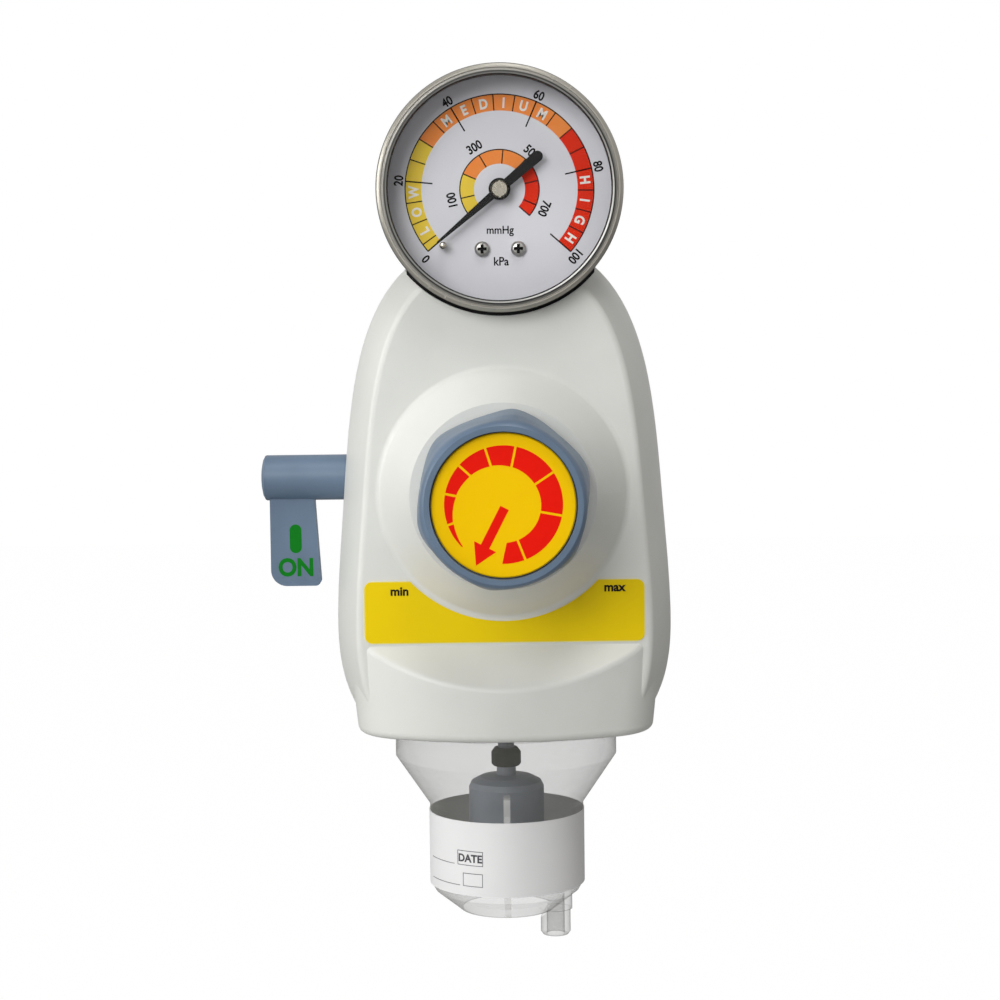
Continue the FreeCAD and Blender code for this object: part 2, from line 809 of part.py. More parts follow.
def hexagon(radius, z_from, z_to):
    points = [V(radius * math.cos(math.radians(60 * i)), stem_y + radius * math.sin(math.radians(60 * i)), z_from)
              for i in range(6)]
    return face_of(points).extrude(V(0, 0, z_to - z_from))


def stem_gasket():
    """Rubber liner of the cradle, with a tab under the bezel and a hole for the gauge's stem."""
    outer = bezel_radius + cradle_gap - 0.05
    inner = case_radius + 0.1
    ring = turned_y([(inner, seam_y - 0.5), (outer, seam_y - 0.5), (outer, face_y - 0.2),
                     (bezel_radius + 0.1, face_y - 0.2), (bezel_radius + 0.1, bezel_front_y + bezel_depth + 0.3),
                     (inner, bezel_front_y + bezel_depth + 0.3)], 0, gauge_z)
    tab = block(-8, 8, face_y - 5, seam_y, gauge_z - 40, gauge_z)
    liner = block(-liner_half, liner_half, liner_front_y, seam_y, gauge_z - 40, gauge_z)
    return ring.common(united([tab, liner])).cut(rod_z(stem_radius + 0.3, gauge_z - 50, gauge_z - 20, 0, stem_y))


def pointer_y():
    return dial_y - 2.9


def turned_to_zero(shape):
    shape.rotate(V(0, 0, gauge_z), BACKWARD, zero_angle)
    return shape


def pointer():
    y = pointer_y()
    z = gauge_z
    tail_z = z - pointer_tail + pointer_tail_round
    needle = face_of([V(-1.1, y, z), V(-0.3, y, z + pointer_length - 0.6), V(0, y, z + pointer_length),
                      V(0.3, y, z + pointer_length - 0.6), V(1.1, y, z), V(pointer_tail_round, y, tail_z),
                      V(-pointer_tail_round, y, tail_z)]).extrude(V(0, pointer_thickness, 0))
    tail = rod_y(pointer_tail_round, y, y + pointer_thickness, 0, tail_z)
    boss_ring = rod_y(2.8, y - 0.3, y + pointer_thickness + 0.4, 0, z)
    body = united([needle, tail, boss_ring]).cut(rod_y(pivot_radius, y - 2, y + 3, 0, z))
    return turned_to_zero(body)


def pointer_hub():
    y = pointer_y() - 0.3
    cap = turned_y([(0, y - 0.9), (1.9, y - 0.9), (2.3, y - 0.5), (2.3, y), (pivot_radius, y),
                    (pivot_radius, y - 0.35), (0, y - 0.35)], 0, gauge_z)
    return cap.cut(block(-0.25, 0.25, y - 2, y - 0.6, gauge_z - 3, gauge_z + 3))


# Regulator

def chamber_back_y():
    return valve_front_y + chamber_depth


def spring_end_y():
    return valve_front_y - diaphragm_thickness - 1.5


def bolt_places():
    return list(around(0, 0, bolt_circle, bolt_count, 30.0))


def valve_body():
    barrel = rod_y(valve_radius, valve_front_y, -wall)
    gauge_boss = rod_z(boss_radius, valve_radius + 0.4, valve_boss_top, 0, stem_y)
    gauge_web = block(-boss_radius, boss_radius, valve_front_y, stem_y + boss_radius, 20, valve_boss_top)
    leg = block(-11, 11, -37.5, -22.0, head_top_z, -18)
    foot = block(-18.5, 18.5, -37, -24, head_top_z, head_top_z + 6)
    spindle_boss = rod_x(8.0, -37.0, -20, lever_y, lever_z)
    body = united([barrel, gauge_boss, gauge_web, leg, foot, spindle_boss])
    nozzle = turned_y([(supply_bore, chamber_back_y() + 1), (6.0, chamber_back_y() + 1),
                       (5.0, chamber_back_y() - 2.6), (supply_bore, chamber_back_y() - 3.4)])
    chamber = rod_y(chamber_radius, valve_front_y - 1, chamber_back_y())
    reach = valve_radius + 0.3
    trim = block(-reach, reach, valve_front_y - 10, valve_front_y, -reach, reach)
    body = body.cut([chamber, trim])
    body = united([body, nozzle])
    holes = [rod_y(supply_bore, chamber_back_y() - 5, 1), rod_y(probe_radius - shank_step + shank_gap, -14, 1),
             rod_x(valve_spindle_radius + running_gap, -60, valve_spindle_end_x + 1, lever_y, lever_z),
             rod_z(stem_radius, valve_boss_top - stem_thread, valve_boss_top + 1, 0, stem_y),
             rod_z(1.5, 10, valve_boss_top - 2, 0, valve_front_y + 3.5),
             rod_z(port_radius, head_top_z - 1, -15, 0, jar_y)]
    for x, z in bolt_places():
        holes.append(rod_y(bolt_radius, valve_front_y - 1, valve_front_y + 10, x, z))
    for x, z in fixing_places():
        holes.append(rod_y(bolt_radius, -12.0, 0, x, z))
    for x in head_screw_places():
        holes.append(rod_z(bolt_radius, head_top_z - 1, head_top_z + 5.2, x, jar_y))
    return body.cut(holes)


def head_screw_places():
    return [-15.0, 15.0]


def diaphragm():
    """Rubber sheet with one rolled convolution."""
    front = valve_front_y - diaphragm_thickness
    back = valve_front_y
    roll_in, roll_out, roll_deep = 14.0, 20.0, 3.0
    middle = (roll_in + roll_out) / 2
    sheet = turned_y([(poppet_radius, front), (roll_in, front), (roll_in + 0.9, front + 1.6),
                      (middle, front + roll_deep), (roll_out - 0.9, front + 1.6), (roll_out, front),
                      (valve_radius, front), (valve_radius, back), (roll_out + 0.4, back),
                      (roll_out + 0.1, back + 1.0), (middle, back + roll_deep + 0.2),
                      (roll_in - 0.1, back + 1.0), (roll_in - 0.4, back), (poppet_radius, back)])
    return sheet.cut([rod_y(bolt_radius + 0.2, front - 1, back + 1, x, z) for x, z in bolt_places()])


def bonnet():
    back = valve_front_y - diaphragm_thickness
    flange = back - bonnet_flange
    body = turned_y([
        (valve_radius, back), (valve_radius, flange), (bonnet_radius + 2.0, flange),
        (bonnet_radius, flange - 2.0), (bonnet_radius, bonnet_shoulder_y + 1.0),
        (nose_radius, bonnet_shoulder_y - 2.0), (nose_radius, nose_front_y),
        (spindle_radius + running_gap, nose_front_y), (spindle_radius + running_gap, bonnet_shoulder_y),
        (bonnet_bore, bonnet_shoulder_y), (bonnet_bore, flange), (chamber_radius, flange + 2.0),
        (chamber_radius, back)])
    middle = bonnet_bore + 1.0
    grooves = [block(side * middle - 1.8, side * middle + 1.8, bonnet_shoulder_y + 1.5, back + 1, -1.8, 1.8)
               .common(rod_y(bonnet_bore + 2.0, bonnet_shoulder_y, back + 1)) for side in (-1, 1)]
    holes = [rod_y(bolt_radius + 0.2, flange - 1, back + 1, x, z) for x, z in bolt_places()]
    return body.cut(grooves + holes)


def bonnet_screws():
    flange = valve_front_y - diaphragm_thickness - bonnet_flange
    return Part.makeCompound([pan_screw(x, z, flange, bolt_length, bolt_radius, bolt_head, 1)
                              for x, z in bolt_places()])


def collar_y():
    return bonnet_shoulder_y + 3.0


def adjusting_screw():
    """Spindle turned by the knob; its collar holds it in the bonnet and its thread drives the carrier."""
    tail_y = spring_end_y() - 3.0
    body = turned_y([(0, knob_front_y + 6.5), (spindle_radius, knob_front_y + 6.5),
                     (spindle_radius, bonnet_shoulder_y), (7.5, bonnet_shoulder_y + 0.1), (7.5, collar_y()),
                     (thread_radius - 0.3, collar_y()), (thread_radius - 0.3, tail_y), (0, tail_y)])
    flat = block(-6, 6, knob_front_y + 5, knob_back_y - 3, spindle_radius - 1.2, 8)
    groove = turned_y([(spindle_radius - 0.6, nose_front_y - 0.2), (8, nose_front_y - 0.2),
                       (8, nose_front_y - 1.0), (spindle_radius - 0.6, nose_front_y - 1.0)])
    return body.cut([flat, groove])


def spindle_clip():
    """Open ring that snaps into the spindle's groove in front of the bonnet."""
    ring = turned_y([(spindle_radius - 0.6, nose_front_y - 0.2), (7.2, nose_front_y - 0.2),
                     (7.2, nose_front_y - 1.0), (spindle_radius - 0.6, nose_front_y - 1.0)])
    return ring.cut(block(-2.0, 2.0, nose_front_y - 2, nose_front_y + 1, -9, 0))


def carrier_front_y():
    return collar_y() + 0.3


def spring_carrier():
    front = carrier_front_y()
    back = front + carrier_thickness
    plate = turned_y([(thread_radius, front), (bonnet_bore - carrier_gap, front),
                      (bonnet_bore - carrier_gap, back), (spring_radius - 2.0, back),
                      (spring_radius - 2.0, back + 2.5), (thread_radius, back + 2.5)])
    lugs = [block(side * bonnet_bore - 1.5, side * bonnet_bore + 1.5, front, back, -1.5, 1.5) for side in (-1, 1)]
    return united([plate] + lugs).cut(rod_y(thread_radius, front - 1, back + 5))


def control_spring():
    start = carrier_front_y() + carrier_thickness + spring_wire / 2
    end = spring_end_y() - spring_wire / 2
    length = end - start
    path = Part.makeHelix(length / spring_turns, length, spring_radius)
    corners = [math.radians(45 * index + 22.5) for index in range(8)]
    rim = spring_wire / 2 / math.cos(math.radians(22.5))
    section = Part.makePolygon([V(spring_radius + rim * math.cos(a), 0, rim * math.sin(a))
                                for a in corners + corners[:1]])
    coil = Part.Wire(path.Edges).makePipeShell([section], True, True)
    coil.rotate(V(0, 0, 0), RIGHT, -90)
    coil.translate(V(0, start, 0))
    return coil


def diaphragm_plate():
    back = valve_front_y - diaphragm_thickness
    return turned_y([(poppet_radius, back), (plate_radius, back), (plate_radius, back - 1.5),
                     (spring_radius - 2.0, back - 1.5), (spring_radius - 2.6, back - 3.0),
                     (poppet_radius, back - 3.0)])


def valve_poppet():
    """Stem and backing plate that hold the middle of the diaphragm."""
    front = valve_front_y - diaphragm_thickness - 4.5
    back = valve_front_y + 1.3
    return turned_y([(0, front), (poppet_radius, front), (poppet_radius, valve_front_y),
                     (8.0, valve_front_y), (8.0, back), (0, back)])


def poppet_pad():
    back = valve_front_y + 1.3
    return rod_y(4.0, back, back + 1.2)


def supply_probe():
    """Plug-in probe that holds the regulator in the wall outlet."""
    tip = probe_length
    groove_y = tip - 7.0
    shank = probe_radius - shank_step
    body = turned_y([(0, -13.0), (shank, -13.0), (shank, 0), (probe_radius, 0), (probe_radius, 11.0), (probe_radius - 1.4, 12.4),
                     (probe_nose_radius, groove_y), (probe_nose_radius - 0.9, groove_y),
                     (probe_nose_radius - 0.9, groove_y + 1.9), (probe_nose_radius, groove_y + 1.9),
                     (probe_nose_radius, tip - 1.5), (probe_nose_radius - 1.0, tip), (0, tip)])
    waist = turned_y([(probe_radius - 1.3, 6.0), (probe_radius + 1, 6.0), (probe_radius + 1, 8.6),
                      (probe_radius - 1.3, 8.6)])
    return body.cut([waist, rod_y(supply_bore, -14, tip + 1)])


def seal_profile(inner, section, place):
    """Eight-sided section of a rubber ring as (radius, place) pairs."""
    half = section / 2
    rim = half / math.cos(math.radians(22.5))
    return [(inner + half + rim * math.cos(math.radians(45 * i + 22.5)),
             place + rim * math.sin(math.radians(45 * i + 22.5))) for i in range(8)]


def probe_seal():
    return turned_y(seal_profile(probe_nose_radius - 0.88, 1.7, probe_length - 7.0 + 0.95))


# Shut-off lever

def seal_groove_places():
    return [-30.0, 4.6]


def valve_spindle():
    """Turning plug with a notch that opens the supply bore when the lever hangs down."""
    radius = valve_spindle_radius
    shank_start = -37.6
    plug = turned_x([(0, -56.0), (shank_radius, -56.0), (shank_radius, shank_start), (radius, shank_start),
                     (radius, valve_spindle_end_x), (0, valve_spindle_end_x)], lever_y, lever_z)
    notch = block(-3.0, 3.0, lever_y - 8, lever_y + 8, lever_z - 8, lever_z + 0.4)
    flat = block(-57, shank_start, lever_y - 8, lever_y + 8, lever_z + shank_radius - 1.0, lever_z + 8)
    grooves = []
    for x in seal_groove_places():
        grooves.append(turned_x([(radius - 1.4, x - 0.8), (radius + 1, x - 0.8), (radius + 1, x + 0.8),
                                 (radius - 1.4, x + 0.8)], lever_y, lever_z))
    tapped = rod_x(1.25, -57, -48, lever_y, lever_z)
    return plug.cut([notch, flat, tapped] + grooves)


def spindle_seals():
    section = 1.36
    inner = valve_spindle_radius - 1.4 + 0.01
    return Part.makeCompound([turned_x(seal_profile(inner, section, x), lever_y, lever_z)
                              for x in seal_groove_places()])


def lever_arm():
    """Round hub with a flat flag, moulded in one piece."""
    hub = rod_x(lever_hub_radius, lever_end_x, lever_hub_inner_x, lever_y, lever_z)
    half = flag_thickness / 2
    left = flag_left_x
    top = lever_z - 2.0
    points = [V(left, lever_y - half, top), V(left, lever_y - half, flag_bottom_z),
              V(flag_foot_x, lever_y - half, flag_bottom_z), V(flag_right_x, lever_y - half, top)]
    flag = face_of(points).extrude(V(0, flag_thickness, 0))
    corner_edges = [edge for edge in flag.Edges
                    if abs(edge.BoundBox.YLength - flag_thickness) < 0.001 and edge.BoundBox.ZMax < top - 5]
    wide = [edge for edge in corner_edges if edge.BoundBox.XMax < left + 1]
    narrow = [edge for edge in corner_edges if edge.BoundBox.XMax > left + 1]
    flag = flag.makeFillet(4.3, wide)
    narrow = [edge for edge in flag.Edges
              if abs(edge.BoundBox.YLength - flag_thickness) < 0.001 and edge.BoundBox.XMin > flag_foot_x - 0.1]
    flag = flag.makeFillet(1.4, narrow)
    body = united([hub, flag])
    bore = rod_x(shank_radius, -56.1, -30, lever_y, lever_z)
    bore = bore.cut(block(-58, -30, lever_y - 8, lever_y + 8, lever_z + shank_radius - 1.0, lever_z + 8))
    screw_hole = rod_x(1.7, lever_end_x + 2, -50, lever_y, lever_z)
    cap_seat = rod_x(4.0, lever_end_x - 1, -60.0, lever_y, lever_z)
    return body.cut([bore, screw_hole, cap_seat])


def lever_screw():
    return turned_x([(0, -61.9), (2.0, -61.9), (2.8, -61.4), (2.8, -60.0), (1.25, -60.0), (1.25, -49.0), (0, -49.0)],
                    lever_y, lever_z)


def lever_cap():
    """Domed plug that closes the end of the lever's hub."""
    radius = lever_hub_radius - 0.15
    end = lever_end_x
    return turned_x([(0, end - cap_dome), (radius * 0.5, end - cap_dome * 0.9), (radius * 0.82, end - cap_dome * 0.62),
                     (radius, end - 0.3), (radius, end), (3.95, end), (3.95, end + 1.4), (0, end + 1.4)],
                    lever_y, lever_z)


# Knob

def lobed_wire(y, radius, lobe):
    """Closed smooth outline of the grip, round with six soft corners."""
    steps = knob_lobes * 4
    points = []
    for index in range(steps):
        angle = 360.0 * index / steps
        wave = math.cos(math.radians(knob_lobes * angle))
        ripple = math.cos(math.radians(2 * knob_lobes * angle))
        reach = radius + lobe * (wave + knob_flattening * ripple)
        turn = math.radians(angle + knob_phase)
        points.append(V(reach * math.sin(turn), y, reach * math.cos(turn)))
    curve = Part.BSplineCurve()
    curve.interpolate(points, True)
    return Part.Wire(curve.toShape())


def knob():
    """Lofted grip that turns from a soft hexagon into a round rim, hollow behind."""
    length = knob_back_y - knob_front_y
    stations = [(0.0, knob_radius - 0.1, knob_lobe), (0.15, knob_radius, knob_lobe),
                (0.3, knob_radius - 0.05, knob_lobe), (0.45, knob_radius - 0.2, knob_lobe),
                (0.6, knob_radius - 0.4, knob_lobe * 0.9), (0.75, knob_radius - 0.7, knob_lobe * 0.7),
                (0.88, knob_front_radius, knob_lobe * 0.35), (0.96, knob_front_radius - 0.45, 0.1),
                (1.0, knob_front_radius - 1.3, 0.0)]
    wires = [lobed_wire(knob_back_y - share * length, radius, lobe) for share, radius, lobe in stations]
    body = Part.makeLoft(wires, True)
    seat = rod_y(disc_radius + disc_gap, knob_front_y - 1, disc_y + disc_thickness)
    hollow = turned_y([(spindle_radius + 3.5, knob_back_y + 1), (knob_radius - knob_wall - 0.5, knob_back_y + 1),
                       (knob_front_radius - knob_wall, disc_y + disc_thickness + 4),
                       (spindle_radius + 3.5, disc_y + disc_thickness + 4)])
    ribs = []
    for x, z in around(0, 0, 1.0, knob_lobes, knob_phase):
        rib = block(0, knob_radius, knob_front_y, knob_back_y - 1.0, -0.7, 0.7)
        rib.rotate(V(0, 0, 0), FORWARD, math.degrees(math.atan2(z, x)))
        ribs.append(rib)
    hollow = hollow.cut(ribs)
    bore = rod_y(spindle_radius, knob_front_y + 6.4, knob_back_y + 1)
    bore = bore.cut(block(-6, 6, knob_front_y + 5, knob_back_y - 3, spindle_radius - 1.2, 8))
    clip_room = rod_y(7.8, knob_back_y - 0.8, knob_back_y + 1)
    return body.cut([seat, hollow, bore, clip_room])


def knob_disc():
    front = disc_y
    return turned_y([(0, front + disc_thickness), (disc_radius, front + disc_thickness), (disc_radius, front + 0.3),
                     (disc_radius - 0.3, front), (0, front)])


# Safety jar and float

def jar_outer():
    foot = jar_bottom_z
    return turned_z([
        (0, foot), (jar_foot_radius - 1.2, foot), (jar_foot_radius, foot + 1.0), (jar_radius - 1.2, jar_taper_z - 1.6),
        (jar_radius, jar_taper_z + 0.6), (jar_radius, cone_bottom_z), (rim_radius - 0.4, rim_bottom_z - 0.6),
        (rim_radius, rim_bottom_z), (rim_radius, jar_top_z - 0.5), (rim_radius - 0.5, jar_top_z),
        (neck_radius, jar_top_z), (neck_radius, neck_top_z), (0, neck_top_z)], 0, jar_y)


def jar_inner():
    foot = jar_bottom_z + jar_wall
    inner = jar_radius - jar_wall
    neck = neck_radius - jar_wall
    return turned_z([
        (0, foot), (jar_foot_radius - jar_wall, foot), (inner - 0.6, jar_taper_z - 0.6), (inner, jar_taper_z + 1.4),
        (inner, cone_bottom_z - 0.8), (rim_radius - 3.4, rim_bottom_z - 0.4), (rim_radius - 3.0, rim_bottom_z + 0.6),
        (rim_radius - 3.0, jar_top_z - 3.0), (neck, jar_top_z), (neck, neck_top_z + 1), (0, neck_top_z + 1)],
        0, jar_y)


def ring_sector(inner, outer, z_from, z_to, middle, spread):
    """Part of a ring about the jar's axis; angles in degrees from +X."""
    ring = rod_z(outer, z_from, z_to, 0, jar_y).cut(rod_z(inner, z_from - 1, z_to + 1, 0, jar_y))
    far = outer * 2
    points = [V(0, jar_y, z_from - 1)]
    for share in (-0.5, 0.0, 0.5):
        turn = math.radians(middle + share * spread)
        points.append(V(far * math.cos(turn), jar_y + far * math.sin(turn), z_from - 1))
    return ring.common(face_of(points).extrude(V(0, 0, z_to - z_from + 2)))


def jar():
    """Clear jar blown and moulded in one piece, with bayonet lugs, an inner rib and a hose spigot."""
    outer = jar_outer()
    spigot = turned_z([(0, spigot_bottom_z), (spigot_radius - 0.6, spigot_bottom_z),
                       (spigot_radius, spigot_bottom_z + 0.8), (spigot_radius, spigot_collar_z),
                       (spigot_radius + spigot_collar, spigot_collar_z),
                       (spigot_radius + spigot_collar, jar_taper_z + 2), (0, jar_taper_z + 2)], spigot_x, jar_y)
    inner = jar_inner()
    spigot = spigot.cut(inner)
    shell = outer.cut(inner)
    lugs = [ring_sector(neck_radius - 0.2, lug_radius, lug_z, lug_z + lug_height, 90 + 120 * i, 30) for i in range(3)]
    rib = block(-rib_width / 2, rib_width / 2, jar_y - jar_radius, jar_y - jar_radius + jar_wall + rib_depth,
                jar_bottom_z + 1.0, cone_bottom_z + 5.0).common(outer)
    body = united([shell, spigot, rib] + lugs)
    return body.cut(rod_z(spigot_bore, spigot_bottom_z - 1, jar_taper_z + 1.5, spigot_x, jar_y))


def jar_label():
    """Paper label wrapped round the jar, open at the back."""
    inner = jar_radius + 0.02
    return ring_part(inner, inner + label_thickness, wrap_bottom_z, wrap_top_z, wrap_angle)


def ring_part(inner, outer, z_from, z_to, spread):
    profile = face_of([V(inner, 0, z_from), V(outer, 0, z_from), V(outer, 0, z_to), V(inner, 0, z_to)])
    ring = profile.revolve(V(0, 0, 0), UP, spread)
    ring.rotate(V(0, 0, 0), UP, -90 - spread / 2)
    ring.translate(V(0, jar_y, 0))
    return ring


def trap_head():
    """Seat for the jar and for the float valve."""
    body = turned_z([
        (orifice_radius, nozzle_bottom_z), (nozzle_radius - 1.5, nozzle_bottom_z), (nozzle_radius, nozzle_bottom_z + 1.5),
        (nozzle_radius, socket_top_z - 1.5), (nozzle_radius + 1.5, socket_top_z), (socket_radius, socket_top_z),
        (socket_radius, head_bottom_z), (head_radius - 1.0, head_bottom_z), (head_radius, head_bottom_z + 1.5),
        (head_radius, head_top_z - 3.4), (head_radius - 3.6, head_top_z),
        (orifice_radius + 1.4, head_top_z), (orifice_radius + 1.4, -60.0), (orifice_radius, -60.0)], 0, jar_y)
    ledges = [ring_sector(neck_radius + 0.4, socket_radius + 0.5, lug_z - 2.9, lug_z - 0.3, 90 + 120 * i, 60)
              for i in range(3)]
    guides = []
    for index in range(3):
        guide = block(stem_rod_radius + 0.3, orifice_radius + 0.4, -0.5, 0.5, -64.0, -60.0)
        guide.rotate(V(0, 0, 0), UP, 120 * index)
        guide.translate(V(0, jar_y, 0))
        guides.append(guide)
    holes = [rod_z(bolt_radius + 0.2, socket_top_z - 1, head_top_z + 1, x, jar_y) for x in head_screw_places()]
    return united([body] + ledges + guides).cut(holes)


def head_screws():
    screws = []
    for x in head_screw_places():
        screw = turned_z([(0, socket_top_z - 1.8), (2.6, socket_top_z - 1.8), (2.8, socket_top_z - 1.4),
                          (2.8, socket_top_z), (bolt_radius, socket_top_z), (bolt_radius, head_top_z + 5.0),
                          (0, head_top_z + 5.0)], x, jar_y)
        screws.append(screw)
    return Part.makeCompound(screws)


def jar_seal():
    return rod_z(neck_radius - 0.1, neck_top_z + 0.1, socket_top_z, 0, jar_y).cut(
        rod_z(neck_radius - jar_wall, neck_top_z - 1, socket_top_z + 1, 0, jar_y))


def float_body():
    top = float_top_z
    points = [(0, float_bottom_z), (float_radius - 1.0, float_bottom_z), (float_radius, float_bottom_z + 1.0),
              (float_radius, top - 3.2), (float_radius * 0.93, top - 1.7), (float_radius * 0.7, top - 0.5),
              (float_radius * 0.35, top), (0, top)]
    return turned_z(points, 0, jar_y)


def float_stem():
    """Guide rod with a collar under the seal."""
    top = -57.0
    return turned_z([(0, float_top_z), (2.55, float_top_z), (2.55, seal_bottom_z), (stem_rod_radius - 0.4, seal_bottom_z),
                     (stem_rod_radius - 0.4, seal_top_z), (stem_rod_radius, seal_top_z), (stem_rod_radius, -59.6),
                     (stem_rod_radius - 0.5, -59.6), (stem_rod_radius - 0.5, -58.8), (stem_rod_radius, -58.8),
                     (stem_rod_radius, top), (0, top)], 0, jar_y)


def float_seal():
    return turned_z([(stem_rod_radius - 0.4, seal_bottom_z), (seal_radius - 0.5, seal_bottom_z),
                     (seal_radius, seal_bottom_z + 0.6), (seal_radius, seal_top_z - 1.2),
                     (seal_radius - 0.9, seal_top_z), (stem_rod_radius - 0.4, seal_top_z)], 0, jar_y)


def stem_clip():
    ring = turned_z([(stem_rod_radius - 0.5, -59.6), (4.0, -59.6), (4.0, -58.8), (stem_rod_radius - 0.5, -58.8)],
                    0, jar_y)
    return ring.cut(block(-1.2, 1.2, jar_y, jar_y + 6, -61, -57))


makers = [front_cover, back_cover, cover_screws, front_label, valve_body, fixing_screws, diaphragm, bonnet,
          bonnet_screws, supply_probe, probe_seal, trap_head, head_screws, jar_seal, stem_gasket, gauge_case,
          gauge_bezel, window_gasket, gauge_window, gauge_dial, dial_screws, dial_posts, stop_pin, gauge_socket,
          bourdon_tube, movement_plates, movement_pillars, pointer, pointer_hub, pinion_shaft, sector_gear,
          movement_link, knob, knob_disc, adjusting_screw, spindle_clip, spring_carrier, control_spring,
          diaphragm_plate, valve_poppet, poppet_pad, lever_arm, lever_cap, lever_screw, valve_spindle,
          spindle_seals, jar, jar_label, float_body, float_stem, float_seal, stem_clip]

os.makedirs("parts", exist_ok=True)
for maker in makers:
    save(maker.__name__, maker())
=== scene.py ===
# %% [markdown]
# # A wall vacuum regulator
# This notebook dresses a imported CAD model: a white moulded housing, a dial gauge, a grip, a shut-off
# lever and a clear safety jar. The CAD pieces keep their shapes. Blender adds what is printed on them
# and the finish of every surface. The first cell loads the fixed frame, notes its box and sets a few
# sizes that later cells share. All lengths are metres, so a millimetre gets a name of its own.

# %% Load the fixed frame
import math

import bmesh
import bpy
from mathutils import Matrix, Vector


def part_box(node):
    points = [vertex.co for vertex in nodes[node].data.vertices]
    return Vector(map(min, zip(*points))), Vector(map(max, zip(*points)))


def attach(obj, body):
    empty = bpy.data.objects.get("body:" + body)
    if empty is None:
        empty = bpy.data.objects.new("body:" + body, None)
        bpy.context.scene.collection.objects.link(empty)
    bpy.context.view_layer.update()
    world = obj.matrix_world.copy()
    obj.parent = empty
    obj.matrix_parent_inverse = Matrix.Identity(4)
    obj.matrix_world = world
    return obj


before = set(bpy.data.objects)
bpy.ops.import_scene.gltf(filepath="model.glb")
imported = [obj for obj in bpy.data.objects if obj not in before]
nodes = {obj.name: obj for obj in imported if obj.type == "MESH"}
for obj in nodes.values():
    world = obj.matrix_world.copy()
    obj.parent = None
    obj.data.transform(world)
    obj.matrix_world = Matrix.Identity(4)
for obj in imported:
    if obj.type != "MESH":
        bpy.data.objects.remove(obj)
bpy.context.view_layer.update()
mm = 0.001


def front_of(node):
    """The y of a node's front, which is its lowest y."""
    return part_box(node)[0][1]


def middle_of(node, axis):
    """The middle of a node's box along x, y or z, counted 0, 1 or 2."""
    low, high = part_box(node)
    return (low[axis] + high[axis]) / 2


dial_front = front_of("gauge_dial")
disc_front = front_of("knob_disc")
label_front = front_of("front_label")
gauge_z = middle_of("gauge_dial", 2)
dial_screw_z = middle_of("dial_screws", 2)
jar_axis_y = middle_of("float_body", 1)
print("dial front", round(dial_front, 5), "gauge axis", round(gauge_z, 5), "jar axis", round(jar_axis_y, 5))

# %% [markdown]
# ## The camera
# The photograph looks at the front with a long lens, from a little above the grip and a few degrees
# down. A camera can be turned with angles, but here its axes are written out, because a small roll is
# easy to add to them. The lens and place come from fitting the round gauge, the grip and the jar.

# %% Camera
pitch, yaw, roll = math.radians(4.81), math.radians(0.025), math.radians(0.69)
camera_place = (-0.0011, -0.670, 0.0503)
ahead = Vector((math.sin(yaw) * math.cos(pitch), math.cos(yaw) * math.cos(pitch), -math.sin(pitch)))
level = Vector((math.cos(yaw), -math.sin(yaw), 0.0))
upward = level.cross(ahead)
right = level * math.cos(roll) - upward * math.sin(roll)
above = upward * math.cos(roll) + level * math.sin(roll)
lens = bpy.data.cameras.new("camera")
lens.sensor_width = 36.0
lens.lens = 87.2
lens.clip_end = 20.0
camera = bpy.data.objects.new("camera", lens)
axes = Matrix((right, above, -ahead)).transposed()
camera.matrix_world = Matrix.Translation(camera_place) @ axes.to_4x4()
bpy.context.scene.collection.objects.link(camera)
bpy.context.scene.camera = camera
print("camera looks along", [round(v, 4) for v in ahead])

# %% [markdown]
# ## Shader maths in Python
# A material is a small graph of nodes. Long graphs are hard to read as node after node, so one class
# wraps an output socket and turns Python's signs into Math nodes. With it, the distance from an axis is
# written as (x * x + z * z) ** 0.5, and the graph is made on the way.

# %% A socket that can be reckoned with
class Wire:
    """An output socket that Python's arithmetic signs extend with Math nodes."""

    def __init__(self, graph, socket):
        self.graph, self.socket = graph, socket

    def math(self, operation, left, right=None):
        return self.graph.node("ShaderNodeMath", {"operation": operation}, {0: left, 1: right})

    def __add__(self, other):
        return self.math("ADD", self, other)

    __radd__ = __add__

    def __sub__(self, other):
        return self.math("SUBTRACT", self, other)

    def __rsub__(self, other):
        return self.math("SUBTRACT", other, self)

    def __mul__(self, other):
        return self.math("MULTIPLY", self, other)

    __rmul__ = __mul__

    def __gt__(self, other):
        return self.math("GREATER_THAN", self, other)

    def __lt__(self, other):
        return self.math("LESS_THAN", self, other)

    def __pow__(self, other):
        return self.math("POWER", self, other)

    def call(self, operation, other=None):
        """A function of one or two values, such as SINE or MAXIMUM."""
        return self.math(operation, self, other)


print("sockets can be added and multiplied")

# %% [markdown]
# ## A graph, and the finish of a surface
# The second class keeps a graph and makes any other node in one call: its type, its settings, and what
# goes into its sockets. The third one is such a graph for a material. It already has its surface shader,
# and it reads places on a piece in the object's own coordinates, so a pattern stays where it is when the
# piece moves with its body.

# %% Graphs and finishes
class Graph:
    """A node tree that is written as expressions."""

    def __init__(self, tree):
        self.tree = tree

    def node(self, kind, settings=None, inputs=None, output=0):
        made = self.tree.nodes.new(kind)
        for key, value in (settings or {}).items():
            if key == "stops":
                self.set_stops(made.color_ramp, value)
            else:
                setattr(made, key, value)
        for key, value in (inputs or {}).items():
            if isinstance(value, Wire):
                self.tree.links.new(value.socket, made.inputs[key])
            elif value is not None:
                made.inputs[key].default_value = value
        return Wire(self, made.outputs[output])

    def set_stops(self, ramp, stops):
        while len(ramp.elements) > 1:
            ramp.elements.remove(ramp.elements[-1])
        ramp.elements[0].position, ramp.elements[0].color = stops[0]
        for place, colour in stops[1:]:
            ramp.elements.new(place).color = colour


